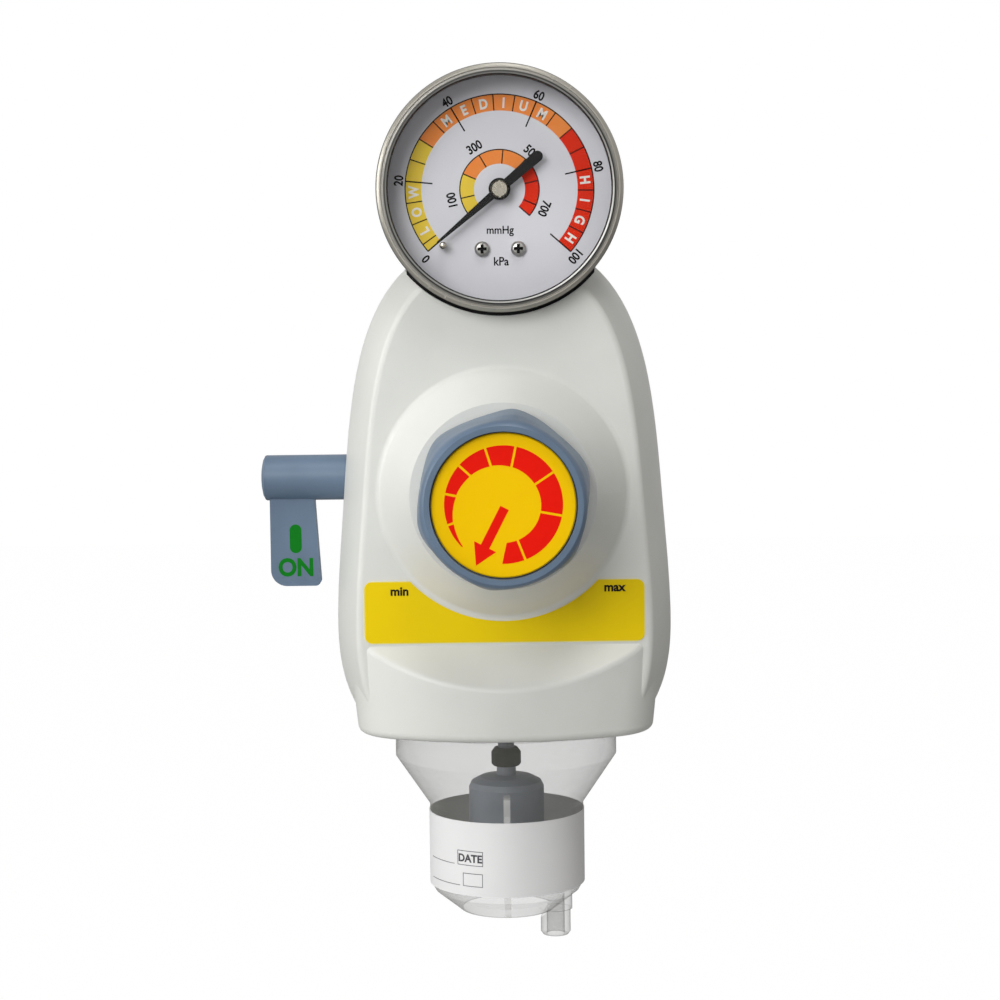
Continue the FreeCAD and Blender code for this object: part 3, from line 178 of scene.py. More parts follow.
class Finish(Graph):
    """A material: a surface shader, and what makes its surface vary."""

    def __init__(self, name, **surface):
        self.material = bpy.data.materials.new(name)
        self.material.use_nodes = True
        super().__init__(self.material.node_tree)
        self.tree.nodes.clear()
        self.shader = self.tree.nodes.new("ShaderNodeBsdfPrincipled")
        self.output = self.tree.nodes.new("ShaderNodeOutputMaterial")
        self.tree.links.new(self.shader.outputs[0], self.output.inputs[0])
        self.set(**surface)

    def set(self, **surface):
        for key, value in surface.items():
            socket = self.shader.inputs[key.replace("_", " ")]
            if isinstance(value, Wire):
                self.tree.links.new(value.socket, socket)
            else:
                socket.default_value = value

    def place(self, centre):
        """Object coordinates measured from a point, as three values."""
        spot = self.node("ShaderNodeTexCoord", output="Object")
        moved = self.node("ShaderNodeVectorMath", {"operation": "SUBTRACT"}, {0: spot, 1: centre})
        split = self.node("ShaderNodeSeparateXYZ", inputs={0: moved})
        return [Wire(self, split.socket.node.outputs[i]) for i in range(3)]

    def noise(self, size, detail=2.0, rough=0.5):
        """Soft noise whose spots are about as large as size."""
        spot = self.node("ShaderNodeTexCoord", output="Object")
        return self.node("ShaderNodeTexNoise", {}, {"Vector": spot, "Scale": 1.0 / size,
                                                     "Detail": detail, "Roughness": rough})

    def blend(self, share, first, second):
        """A colour between two colours."""
        return self.node("ShaderNodeMix", {"data_type": "RGBA"},
                         {0: share, 6: first, 7: second}, output=2)

    def bump(self, height, depth):
        return self.node("ShaderNodeBump", {}, {"Strength": 1.0, "Distance": depth, "Height": height})


def srgb(red, green, blue):
    """A colour picked in 0 to 255 display values, as the linear values that shaders use."""
    def linear(value):
        value /= 255.0
        return value / 12.92 if value <= 0.04045 else ((value + 0.055) / 1.055) ** 2.4
    return (linear(red), linear(green), linear(blue), 1.0)


def ramp_between(finish, value, low, high):
    """A value that rises from 0 at low to 1 at high."""
    return finish.node("ShaderNodeMapRange", {}, {0: value, 1: low, 2: high, 3: 0.0, 4: 1.0})


print("finishes can be made")

# %% [markdown]
# ## Moulded plastic
# The covers are a satin moulding with a fine etched skin, and the grip and lever are a softer blue-grey
# plastic. Both need more than one colour: moulded parts pick up a faint cloudiness and their gloss
# changes a little from place to place. Two sizes of noise do this, a coarse one for the cloudiness and
# a fine one, a few tenths of a millimetre across, for the skin's bump.

# %% Plastics
def moulded(name, colour, shade, roughness, skin, depth):
    """A moulded plastic: skin is the size of its etched grain, and depth is the grain's height."""
    finish = Finish(name)
    drift = finish.noise(18 * mm, 3.0)
    grain = finish.noise(skin, 2.0, 0.6)
    cloud = ramp_between(finish, drift, 0.35, 0.65)
    finish.set(Base_Color=finish.blend(cloud, colour, shade),
               Roughness=grain * 0.10 + drift * 0.08 + (roughness - 0.09),
               Normal=finish.bump(grain, depth))
    return finish.material


white_plastic = moulded("white plastic", srgb(224, 225, 220), srgb(220, 221, 216),
                        0.42, 0.35 * mm, 0.010 * mm)
blue_plastic = moulded("blue-grey plastic", srgb(101, 121, 144), srgb(92, 111, 133),
                       0.42, 0.5 * mm, 0.012 * mm)
seat_plastic = moulded("pale inner plastic", srgb(205, 207, 204), srgb(196, 198, 196),
                       0.45, 0.5 * mm, 0.01 * mm)
float_plastic = moulded("float plastic", srgb(142, 148, 158), srgb(130, 136, 146),
                        0.45, 0.6 * mm, 0.01 * mm)
print("plastics made")

# %% [markdown]
# ## Metal, rubber and black lacquer
# The bezel is turned on a lathe, so its polish lies in fine rings about the gauge's axis. The distance
# from that axis, fed to a sine, gives the rings, and noise keeps them from being perfect. Across the ring
# its colour runs in painted bands of reflection and shade: a bright line at the lip, a dark band, and a rim
# that grows paler outward and darker at its outer edge. Its inner edge and inner wall are painted black by
# depth and radius, partly for the window's black sealing ring and partly as painted shade inside the bezel.
# Screws, pins and shafts are plated or brass and share one helper with small scratches and dull spots. The
# two screws in the dial have painted shade in their cross recesses, found from the distance to each screw's
# own axis.

# %% Metals and rubber
bezel_inner, bezel_outer = 28.0 * mm, 31.4 * mm
seal_and_shade_radius, seal_and_shade_depth = 28.9 * mm, 0.9 * mm
ring_pitch = 0.22 * mm
dial_screw_x = 4.65 * mm
recess_half, recess_reach = 0.40 * mm, 1.2 * mm


def metal(name, colour, dull, roughness, spot=1.2 * mm, scratch=0.006 * mm):
    finish = Finish(name, Metallic=1.0)
    drift = finish.noise(spot, 3.0, 0.6)
    fine = finish.noise(spot * 0.15, 2.0)
    finish.set(Base_Color=finish.blend(drift, colour, dull), Roughness=drift * 0.18 + (roughness - 0.09),
               Normal=finish.bump(fine, scratch))
    return finish.material


def turned_bezel():
    finish = Finish("turned steel bezel")
    x, y, z = finish.place((0, front_of("gauge_bezel"), gauge_z))
    radius = (x * x + z * z) ** 0.5
    drift = finish.noise(6 * mm, 3.0)
    rings = (radius * (2 * math.pi / ring_pitch) + drift * 6.0).call("SINE")
    fine = finish.noise(0.5 * mm, 2.0)
    across = ramp_between(finish, radius, bezel_inner, bezel_outer)
    # Bands across the ring: the black inner edge is partly the window's black seal and partly painted
    # shade, the lip's bright line is a painted highlight, and the dark band and the rim's rise and fall are
    # painted reflection and shade on the curved steel.
    seal_and_shade_stops = [(0.0, srgb(18, 18, 18)), (0.13, srgb(18, 18, 18))]
    lip = [(0.18, srgb(165, 165, 162)), (0.24, srgb(150, 150, 148))]
    painted_dark_band = [(0.29, srgb(44, 44, 44)), (0.36, srgb(58, 58, 56))]
    rim = [(0.42, srgb(150, 148, 143)), (0.62, srgb(166, 163, 155)), (0.86, srgb(182, 178, 168)),
           (0.95, srgb(130, 128, 121)), (1.0, srgb(84, 82, 78))]
    stops = seal_and_shade_stops + lip + painted_dark_band + rim
    painted_bands = finish.node("ShaderNodeValToRGB", {"stops": stops}, {0: across})
    # The inner wall is painted near black: partly the window's black seal, partly painted shade inside the
    # bezel.
    inner = (radius < seal_and_shade_radius) * (y > seal_and_shade_depth)
    steel = finish.blend(drift * 0.3, painted_bands, srgb(120, 119, 114))
    finish.set(Base_Color=finish.blend(inner, steel, srgb(24, 24, 24)), Metallic=1.0 - inner * 0.6,
               Roughness=drift * 0.12 + 0.34, Normal=finish.bump(rings * 0.5 + fine, 0.004 * mm))
    return finish.material


def crossed_screw():
    """Zinc plating with painted shade in the two screws' cross recesses."""
    finish = Finish("dial screw", Metallic=1.0)
    x, _, z = finish.place((0, 0, dial_screw_z))
    aside, along = (x.call("ABSOLUTE") - dial_screw_x).call("ABSOLUTE"), z.call("ABSOLUTE")
    # The cross recesses are painted near black, as painted shade in them.
    thin = aside.call("MINIMUM", along) < recess_half
    painted_recess_shade = thin * (aside.call("MAXIMUM", along) < recess_reach)
    drift = finish.noise(0.8 * mm, 3.0)
    plating = finish.blend(drift, srgb(206, 205, 200), srgb(176, 175, 170))
    finish.set(Base_Color=finish.blend(painted_recess_shade, plating, srgb(26, 26, 26)),
               Roughness=drift * 0.15 + 0.22)
    return finish.material


def soft_black(name, colour, roughness, size):
    finish = Finish(name, Specular_IOR_Level=0.2)
    drift = finish.noise(size, 3.0)
    finish.set(Base_Color=finish.blend(drift, colour, srgb(20, 20, 20)),
               Roughness=drift * 0.15 + (roughness - 0.08), Normal=finish.bump(drift, 0.01 * mm))
    return finish.material


bezel_steel = turned_bezel()
nickel = metal("nickel", srgb(200, 196, 184), srgb(172, 166, 150), 0.25)
dial_screw = crossed_screw()
plated_screw = metal("zinc plated screw", srgb(188, 187, 182), srgb(150, 149, 145), 0.30)
bright_steel = metal("bright steel", srgb(190, 191, 194), srgb(160, 161, 165), 0.28)
turned_brass = metal("turned brass", srgb(206, 172, 100), srgb(176, 140, 72), 0.30)
cast_aluminium = metal("cast aluminium", srgb(196, 198, 200), srgb(168, 170, 173),
                       0.42, 2 * mm, 0.02 * mm)
rubber = soft_black("black rubber", srgb(20, 20, 20), 0.62, 0.8 * mm)
lacquer = soft_black("black lacquer", srgb(4, 4, 5), 0.5, 1.5 * mm)
print("metals made")

# %% [markdown]
# ## Printed film, card and ink
# The label and the grip's disc are plastic films printed on the back, so their colour is even and they
# mirror little. The label has a thin paler edge, a painted highlight where the lip of its recess catches
# the light. It is found without a picture: the distance to the nearest side, worked out from the object's
# own coordinates. Inks are thin raised shapes with a little variation in gloss, which is what tells print
# from paint.

# %% Films, paper and ink
def film(name, colour, shade):
    finish = Finish(name, Specular_IOR_Level=0.12)
    drift = finish.noise(9 * mm, 3.0)
    fibre = finish.noise(0.6 * mm, 2.0)
    finish.set(Base_Color=finish.blend(drift, colour, shade), Roughness=drift * 0.12 + 0.22,
               Normal=finish.bump(fibre, 0.003 * mm))
    return finish.material


painted_highlight_width = 0.22 * mm


def label_film():
    finish = Finish("yellow label film", Specular_IOR_Level=0.2)
    low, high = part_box("front_label")
    x, _, z = finish.place(((low[0] + high[0]) / 2, low[1], (low[2] + high[2]) / 2))
    aside = (high[0] - low[0]) / 2 - x.call("ABSOLUTE")
    along = (high[2] - low[2]) / 2 - z.call("ABSOLUTE")
    # The thin pale band along the label's sides is a painted highlight, where the lip of the label's recess
    # catches the light.
    edge = aside.call("MINIMUM", along) < painted_highlight_width
    drift = finish.noise(8 * mm, 3.0)
    yellow = finish.blend(drift, srgb(246, 214, 2), srgb(240, 207, 1))
    finish.set(Base_Color=finish.blend(edge, yellow, srgb(238, 222, 120)),
               Roughness=drift * 0.12 + 0.26)
    return finish.material


def paper(name, colour, shade):
    finish = Finish(name)
    fibre = finish.noise(0.5 * mm, 4.0, 0.7)
    drift = finish.noise(12 * mm, 2.0)
    finish.set(Base_Color=finish.blend(drift, colour, shade), Roughness=fibre * 0.1 + 0.5,
               Normal=finish.bump(fibre, 0.006 * mm))
    return finish.material


def ink(name, colour, shade):
    finish = Finish(name, Specular_IOR_Level=0.12)
    drift = finish.noise(1.5 * mm, 3.0)
    finish.set(Base_Color=finish.blend(drift, colour, shade), Roughness=drift * 0.2 + 0.35)
    return finish.material


yellow_label = label_film()
yellow_disc = film("yellow disc film", srgb(255, 208, 0), srgb(255, 203, 0))
dial_card = paper("dial enamel", srgb(230, 230, 236), srgb(225, 225, 232))
label_paper = paper("label paper", srgb(240, 240, 240), srgb(234, 234, 235))
black_ink = ink("black ink", srgb(10, 8, 10), srgb(22, 20, 22))
red_ink = ink("red ink", srgb(246, 22, 0), srgb(240, 16, 0))
dial_red = ink("dial red ink", srgb(240, 52, 12), srgb(230, 38, 10))
dial_orange = ink("dial orange ink", srgb(252, 142, 58), srgb(255, 156, 84))
dial_yellow = ink("dial yellow ink", srgb(248, 216, 62), srgb(242, 208, 82))
white_ink = ink("white ink", srgb(250, 246, 240), srgb(244, 240, 232))
green_ink = ink("green ink", srgb(8, 124, 26), srgb(4, 112, 20))
grey_ink = ink("grey ink", srgb(70, 70, 74), srgb(88, 88, 92))
print("films and inks made")

# %% [markdown]
# ## Clear plastic and the gauge's window
# The jar is a clear moulding with a pale haze. A refracting solid would keep the lamps' light from what
# is inside it, so its outer skin is a sheet instead: mostly see-through, a little milky, and more solid
# where it is seen edge on, which a Layer Weight node gives. The inner skin is told from the outer one by
# its distance from the jar's axis and is almost clear, as its edges vanish in real plastic. The rib down
# the front is thicker, so it shows as a paler line. The window is flatter and clearer, so it only
# mirrors the share of light that a sheet reflects at each angle.

# %% Clear materials
cone_foot_z = -84.2 * mm
cone_slope = 0.68
wall_middle, rim_middle = 19.5 * mm, 28.0 * mm
taper_drop = 21.2 * mm
rib_half, rib_top, rib_depth = 0.86 * mm, 5 * mm, 10 * mm


def clear_jar():
    finish = Finish("clear jar plastic")
    ripple = finish.noise(14 * mm, 2.0)
    haze = finish.noise(2 * mm, 3.0)
    edge_on = finish.node("ShaderNodeLayerWeight", inputs={"Blend": 0.5}, output="Facing")
    x, y, z = finish.place((0, jar_axis_y, cone_foot_z))
    radius = (x * x + y * y) ** 0.5
    above, below = z.call("MAXIMUM", 0.0), (z + taper_drop).call("MINIMUM", 0.0)
    inside_wall = (above * cone_slope + wall_middle).call("MINIMUM", rim_middle) + below
    outer = radius > inside_wall
    rib = (x.call("ABSOLUTE") < rib_half) * (y < -rib_depth) * (z < rib_top)
    sheet = finish.blend(ripple, srgb(158, 158, 151), srgb(142, 142, 136))
    finish.set(Base_Color=finish.blend(rib, sheet, srgb(238, 238, 234)),
               Roughness=haze * 0.06 + 0.06,
               Alpha=(edge_on ** 3.0 * 0.6 + haze * 0.04 + 0.16) * outer + rib * 0.22 + 0.03,
               Normal=finish.bump(ripple, 0.05 * mm))
    return finish.material


def window_sheet():
    finish = Finish("window sheet", Metallic=1.0)
    edge_on = finish.node("ShaderNodeLayerWeight", inputs={"Blend": 0.5}, output="Facing")
    smear = finish.noise(9 * mm, 3.0)
    finish.set(Base_Color=finish.blend(smear, (0.95, 0.96, 0.96, 1.0), (0.90, 0.92, 0.92, 1.0)),
               Roughness=smear * 0.05 + 0.02, Alpha=edge_on ** 4.0 * 0.5 + 0.004)
    return finish.material


jar_plastic = clear_jar()
window = window_sheet()
print("clear materials made")

# %% [markdown]
# ## Giving each CAD piece its finish
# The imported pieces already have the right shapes, so only their material slots change. One table says
# which finish goes on which piece, and the loop checks that no piece is forgotten.

# %% Assign finishes
finishes = {
    white_plastic: ["front_cover", "back_cover"],
    blue_plastic: ["knob", "lever_arm", "lever_cap"],
    seat_plastic: ["trap_head"],
    float_plastic: ["float_body", "float_stem"],
    bezel_steel: ["gauge_bezel"],
    nickel: ["pointer_hub", "stop_pin"],
    plated_screw: ["cover_screws", "fixing_screws", "bonnet_screws", "head_screws", "lever_screw"],
    dial_screw: ["dial_screws"],
    bright_steel: ["control_spring", "spindle_clip", "stem_clip"],
    turned_brass: ["supply_probe", "gauge_socket", "bourdon_tube", "movement_plates", "movement_pillars",
                   "dial_posts", "pinion_shaft", "sector_gear", "movement_link", "adjusting_screw",
                   "spring_carrier", "valve_poppet", "valve_spindle"],
    cast_aluminium: ["valve_body", "bonnet", "diaphragm_plate"],
    rubber: ["diaphragm", "probe_seal", "jar_seal", "stem_gasket", "window_gasket", "poppet_pad",
             "spindle_seals", "float_seal"],
    lacquer: ["gauge_case", "pointer"],
    yellow_label: ["front_label"],
    yellow_disc: ["knob_disc"],
    dial_card: ["gauge_dial"],
    label_paper: ["jar_label"],
    jar_plastic: ["jar"],
    window: ["gauge_window"],
}
for material, names in finishes.items():
    for name in names:
        mesh = nodes[name].data
        mesh.materials.clear()
        mesh.materials.append(material)
dressed = [name for names in finishes.values() for name in names]
print("dressed", len(dressed), "of", len(nodes), "left", sorted(set(nodes) - set(dressed)))

# %% [markdown]
# ## Thin printed shapes
# A print is a slab a few hundredths of a millimetre thick that stands on its surface. One helper makes
# a slab between two lines of points, which covers bands, rings and bars, and another turns the result
# into a finished piece at the origin, with its outside facing out, that rides on a body.

# %% Slabs
print_height = 0.03 * mm
sink = 0.02 * mm


def slab(mesh, first, second, front, back):
    """A thin closed slab between two rows of (x, z) points, from y front to y back."""
    rows = []
    for y in (front, back):
        rows.append([[mesh.verts.new((x, y, z)) for x, z in row] for row in (first, second)])
    (near_a, near_b), (far_a, far_b) = rows
    for i in range(len(first) - 1):
        mesh.faces.new((near_a[i], near_a[i + 1], near_b[i + 1], near_b[i]))
        mesh.faces.new((far_b[i], far_b[i + 1], far_a[i + 1], far_a[i]))
        mesh.faces.new((far_a[i], far_a[i + 1], near_a[i + 1], near_a[i]))
        mesh.faces.new((near_b[i], near_b[i + 1], far_b[i + 1], far_b[i]))
    for end, flip in ((0, False), (-1, True)):
        ring = [near_a[end], near_b[end], far_b[end], far_a[end]]
        mesh.faces.new(ring[::-1] if flip else ring)


def finished(name, mesh, material, body):
    """Turns a bmesh into a piece that rides on a body."""
    bmesh.ops.recalc_face_normals(mesh, faces=mesh.faces)
    data = bpy.data.meshes.new(name)
    mesh.to_mesh(data)
    mesh.free()
    data.materials.append(material)
    piece = bpy.data.objects.new(name, data)
    bpy.context.scene.collection.objects.link(piece)
    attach(piece, body)
    return piece


def around_dial(angle, radius):
    """A place on the dial: degrees clockwise from the top, and metres from the pointer's axis."""
    turn = math.radians(angle)
    return radius * math.sin(turn), gauge_z + radius * math.cos(turn)


def arc_rows(start, end, inner, outer):
    steps = max(2, int(abs(end - start) / 3.0))
    angles = [start + (end - start) * i / steps for i in range(steps + 1)]
    return [around_dial(a, inner) for a in angles], [around_dial(a, outer) for a in angles]


print("prints stand", round(print_height / mm, 3), "mm above their surface")

# %% [markdown]
# ## The dial's scales
# The outer scale runs to 100 in kilopascals and the inner one to 750 in millimetres of mercury. Above
# 20 it takes 2.7 degrees for each kilopascal, and below 5 the scale is squeezed towards the stop. Each
# scale is a band in three colours with a fine black arc outside it. The bands follow the same rule of
# angle and radius, so they are written as a table and drawn by the helpers above.

# %% Bands on the dial
zero_angle = -130.0
angle_at_20, kpa_turn = -84.4, 2.7
angle_at_100, mercury_turn = -102.4, 36.0


def outer_angle(kpa):
    return zero_angle if kpa == 0 else angle_at_20 + kpa_turn * (kpa - 20)


def inner_angle(mercury):
    return angle_at_100 + mercury_turn * (mercury - 100) / 100


outer_band = (20.0 * mm, 24.0 * mm)
inner_band = (6.55 * mm, 10.0 * mm)
arc_width = 0.30 * mm
dial_y = dial_front - print_height
bands = [
    ("band_yellow", dial_yellow, [(zero_angle, outer_angle(30), outer_band),
                                  (zero_angle, inner_angle(200), inner_band)]),
    ("band_orange", dial_orange, [(outer_angle(30), outer_angle(70), outer_band),
                                  (inner_angle(200), inner_angle(500), inner_band)]),
    ("band_red", dial_red, [(outer_angle(70), outer_angle(100), outer_band),
                            (inner_angle(500), inner_angle(750), inner_band)]),
]
for name, material, stretches in bands:
    mesh = bmesh.new()
    for start, end, (inner, outer) in stretches:
        slab(mesh, *arc_rows(start, end, inner, outer), dial_y, dial_front + sink)
    finished(name, mesh, material, "housing")

mesh = bmesh.new()
for end, radius in ((outer_angle(100), outer_band[1]), (inner_angle(750), inner_band[1])):
    arc = arc_rows(zero_angle, end, radius, radius + arc_width)
    slab(mesh, *arc, dial_y - 0.01 * mm, dial_front + sink)
finished("scale_arcs", mesh, black_ink, "housing")
print("bands", [b[0] for b in bands])

# %% [markdown]
# ## Scale marks with Geometry Nodes
# The marks repeat by rule, each one the same turn further round, so they are a small Geometry Nodes
# tree: points in a row are bent onto a circle, each takes a thin bar turned to face the centre, and the
# bars are made real and given their ink. The tree's inputs are its sizes, so the same tree draws the
# short marks, the long marks, the marks of the inner scale and the small crimps pressed in the bezel.

# %% A tree that sets bars round an axis
def bar_ring_tree():
    tree = bpy.data.node_groups.new("bars round an axis", "GeometryNodeTree")
    wanted = [("Count", "NodeSocketInt"), ("First", "NodeSocketFloat"), ("Step", "NodeSocketFloat"),
              ("Radius", "NodeSocketFloat"), ("Size", "NodeSocketVector"), ("Centre", "NodeSocketVector"),
              ("Finish", "NodeSocketMaterial")]
    tree.interface.new_socket("Geometry", in_out="OUTPUT", socket_type="NodeSocketGeometry")
    for name, kind in wanted:
        tree.interface.new_socket(name, in_out="INPUT", socket_type=kind)
    graph = Graph(tree)
    source = tree.nodes.new("NodeGroupInput")
    give = {name: Wire(graph, source.outputs[name]) for name, _ in wanted}
    index = graph.node("GeometryNodeInputIndex")
    angle = index * give["Step"] + give["First"]
    spot = graph.node("ShaderNodeCombineXYZ", inputs={0: angle.call("SINE") * give["Radius"],
                                                      2: angle.call("COSINE") * give["Radius"]})
    points = graph.node("GeometryNodePoints", inputs={"Count": give["Count"], "Position": spot})
    bar = graph.node("GeometryNodeMeshCube", inputs={"Size": give["Size"]})
    turn = graph.node("ShaderNodeCombineXYZ", inputs={1: angle})
    placed = graph.node("GeometryNodeInstanceOnPoints",
                        inputs={"Points": points, "Instance": bar, "Rotation": turn})
    real = graph.node("GeometryNodeRealizeInstances", inputs={0: placed})
    moved = graph.node("GeometryNodeTransform", inputs={"Geometry": real, "Translation": give["Centre"]})
    inked = graph.node("GeometryNodeSetMaterial", inputs={"Geometry": moved, "Material": give["Finish"]})
    target = tree.nodes.new("NodeGroupOutput")
    tree.links.new(inked.socket, target.inputs[0])
    return tree


bar_ring = bar_ring_tree()
print("tree with", len(bar_ring.nodes), "nodes")

# %% [markdown]
# ## Running the tree
# The tree draws one ring of bars. A piece may need several, such as the short and the long marks, so the
# next helper runs it once for each set of sizes on a short-lived object, takes the evaluated mesh, and
# joins the results in one plain mesh. The modifier goes before the mesh becomes a piece.

# %% Marks on the scales
def bars(sets, name, material, body):
    """Runs the tree once for each set of sizes and joins the results in one plain mesh."""
    joined = bmesh.new()
    for sizes in sets:
        host = bpy.data.objects.new(name + " maker", bpy.data.meshes.new(name + " maker"))
        bpy.context.scene.collection.objects.link(host)
        modifier = host.modifiers.new("bars", "NODES")
        modifier.node_group = bar_ring
        sockets = [item for item in bar_ring.interface.items_tree if item.in_out == "INPUT"]
        ids = {item.name: item.identifier for item in sockets}
        for key, value in dict(sizes, Finish=material).items():
            modifier[ids[key]] = value
        view = bpy.context.evaluated_depsgraph_get()
        made = bpy.data.meshes.new_from_object(host.evaluated_get(view))
        joined.from_mesh(made)
        host.modifiers.remove(modifier)
        bpy.data.objects.remove(host)
    return finished(name, joined, material, body)


def marks(count, first, step, inner, outer, width):
    """Sizes of a set of radial marks between two radii."""
    front = dial_y - 0.015 * mm
    depth = dial_front + sink - front
    return {"Count": count, "First": math.radians(first), "Step": math.radians(step),
            "Radius": (inner + outer) / 2, "Size": (width, depth, outer - inner),
            "Centre": (0.0, front + depth / 2, gauge_z)}


thin, thick = 0.30 * mm, 0.36 * mm
outer_marks = (outer_band[0], 24.2 * mm)
inner_marks = (inner_band[0], 10.2 * mm)
long_marks = (17.2 * mm, 24.2 * mm)
scale_marks = bars([
    marks(1, zero_angle, 0, *outer_marks, thick),
    marks(20, outer_angle(5), 5 * kpa_turn, *outer_marks, thin),
    marks(5, outer_angle(20), 20 * kpa_turn, *long_marks, thick),
    marks(7, inner_angle(100), mercury_turn, *inner_marks, thin),
    marks(1, inner_angle(750), 0, *inner_marks, thin),
], "scale_marks", black_ink, "housing")
print("scale marks", len(scale_marks.data.polygons), "faces")

# %% [markdown]
# ## Numerals and words
# Letters come from Blender's own font. Each word is a curve that becomes a thin mesh, is stood up to
# face the front, turned about its own middle and moved to its place. Numbers round the dial lean with
# the scale, and the words on the coloured band go one letter to a cell, as on the real dial.

# %% Lettering
capital_share = 0.69
outer_numbers, inner_numbers = 25.9 * mm, 12.5 * mm


def letters(mesh, text, place, height, front, turn=0.0, weight=0.0, width=1.0):
    """Adds one word, centred on (x, z), to a bmesh.

    Height is that of a capital, turn is in degrees clockwise, weight makes the strokes bolder by a
    share of the height, and width below 1 makes the letters narrower.
    """
    curve = bpy.data.curves.new(text, "FONT")
    curve.body = text
    curve.size = height / capital_share
    curve.align_x, curve.align_y = "CENTER", "CENTER"
    curve.extrude = print_height
    curve.offset = weight * height
    curve.resolution_u = 4
    holder = bpy.data.objects.new(text, curve)
    bpy.context.scene.collection.objects.link(holder)
    bpy.context.view_layer.update()
    data = bpy.data.meshes.new_from_object(holder.evaluated_get(bpy.context.evaluated_depsgraph_get()))
    low = min(v.co.y for v in data.vertices)
    high = max(v.co.y for v in data.vertices)
    stand = Matrix.Rotation(math.radians(90), 4, "X") @ Matrix.Translation((0, -(low + high) / 2, 0))
    lean = Matrix.Rotation(math.radians(turn), 4, "Y") @ Matrix.Diagonal((width, 1.0, 1.0, 1.0))
    data.transform(Matrix.Translation((place[0], front + print_height * 0.6, place[1])) @ lean @ stand)
    mesh.from_mesh(data)
    bpy.data.objects.remove(holder)


def dial_numbers():
    """The numbers of both scales and their units."""
    black = bmesh.new()
    rows = [(0, zero_angle - 2.5, outer_numbers)]
    rows += [(kpa, outer_angle(kpa), outer_numbers) for kpa in (20, 40, 60, 80, 100)]
    rows += [(mercury, inner_angle(mercury), inner_numbers) for mercury in (100, 300, 500, 700)]
    for number, angle, radius in rows:
        letters(black, str(number), around_dial(angle, radius), 2.2 * mm, dial_y, angle, 0.04, 0.85)
    letters(black, "mmHg", (0.0, gauge_z - 10.6 * mm), 1.95 * mm, dial_y, 0, 0.025, 0.92)
    letters(black, "kPa", (0.2 * mm, gauge_z - 18.3 * mm), 2.1 * mm, dial_y, 0, 0.025, 0.92)
    return finished("dial_numbers", black, black_ink, "housing")


def dial_band_words():
    """LOW, MEDIUM and HIGH, one letter in the middle of each cell of the band."""
    white = bmesh.new()
    middle = (outer_band[0] + outer_band[1]) / 2
    for first, word in ((5, "LOW"), (35, "MEDIUM"), (80, "HIGH")):
        for step, letter in enumerate(word):
            angle = outer_angle(first + 5 * step) + 2.5 * kpa_turn
            place = around_dial(angle, middle)
            letters(white, letter, place, 2.4 * mm, dial_y - 0.03 * mm, angle, 0.055, 0.85)
    return finished("dial_band_words", white, white_ink, "housing")


for words in (dial_numbers(), dial_band_words()):
    print(words.name, len(words.data.vertices), "points")

# %% [markdown]
# ## Print on the label and on the jar
# The yellow label says where the grip turns down and up. The jar's paper label wraps round it, so its
# boxes and lines are drawn flat, cut into short steps and then bent: each point's distance sideways
# becomes an angle about the jar's axis. The label has two boxes and two lines to write on.

# %% Label words and the jar's fields
def label_words():
    black = bmesh.new()
    front = label_front - print_height
    letters(black, "min", (-27.0 * mm, -25.2 * mm), 2.2 * mm, front, 0, 0.05)
    letters(black, "max", (28.4 * mm, -25.0 * mm), 2.2 * mm, front, 0, 0.05)
    return finished("label_words", black, black_ink, "housing")


def wrapped(mesh, radius):
    """Bends a flat bmesh round the jar: x becomes an angle, and y a distance from the paper."""
    for vert in mesh.verts:
        turn = vert.co.x / radius
        reach = radius - vert.co.y
        vert.co.x, vert.co.y = reach * math.sin(turn), jar_axis_y - reach * math.cos(turn)


def flat_bar(mesh, left, right, low, high):
    steps = max(1, int(abs(right - left) / (0.6 * mm)))
    xs = [left + (right - left) * i / steps for i in range(steps + 1)]
    slab(mesh, [(x, low) for x in xs], [(x, high) for x in xs], -print_height, sink)


def field(mesh, left, right, low, high, line):
    """An outlined box for a written entry."""
    flat_bar(mesh, left, right, low, low + line)
    flat_bar(mesh, left, right, high - line, high)
    flat_bar(mesh, left, left + line, low + line, high - line)
    flat_bar(mesh, right - line, right, low + line, high - line)


def jar_fields():
    """Two boxes, each with a line to write on at its left, and DATE in the upper box."""
    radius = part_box("jar_label")[1][0]
    dark = bmesh.new()
    line = 0.16 * mm
    line_start = -26.0 * mm
    date_foot, spare_foot = -97.6 * mm, -103.1 * mm
    field(dark, -14.1 * mm, -6.5 * mm, date_foot, -93.7 * mm, line)
    field(dark, -12.4 * mm, -6.6 * mm, spare_foot, -99.6 * mm, line)
    flat_bar(dark, line_start, -15.2 * mm, date_foot, date_foot + line)
    flat_bar(dark, line_start, -13.4 * mm, spare_foot, spare_foot + line)
    letters(dark, "DATE", (-10.3 * mm, -95.65 * mm), 1.95 * mm, -print_height, 0, 0.045)
    wrapped(dark, radius)
    return finished("jar_fields", dark, grey_ink, "jar")


for words in (label_words(), jar_fields()):
    print(words.name, len(words.data.vertices), "points")

# %% [markdown]
# ## The grip's disc and the lever's sign
# The disc in the grip carries a ring that swells as the vacuum rises, cut into segments, and an arrow.
# The ring's outer edge is a circle. Its inner edge winds in from the rim and settles near a circle, so
# its radius follows a short rule of the angle. The gaps between segments keep the same width along
# their length, so each end is a line moved sideways from its radius.

# %% Ring, arrow and ON
ring_start, ring_turn = -134.7, 205.0
inner_radius, inner_rise = 9.08, 4.95
outer_radius, outer_shift = 14.36, 0.17
cut_angles = (-108.9, -78.2, -47.6, -17.3, 12.1, 56.8, 100.6, 158.8)
ring_end = (176.0, 182.0)
ring_cuts = [(ring_start, ring_start)] + [(a, a) for a in cut_angles] + [ring_end]
half_gap = 0.28 * mm


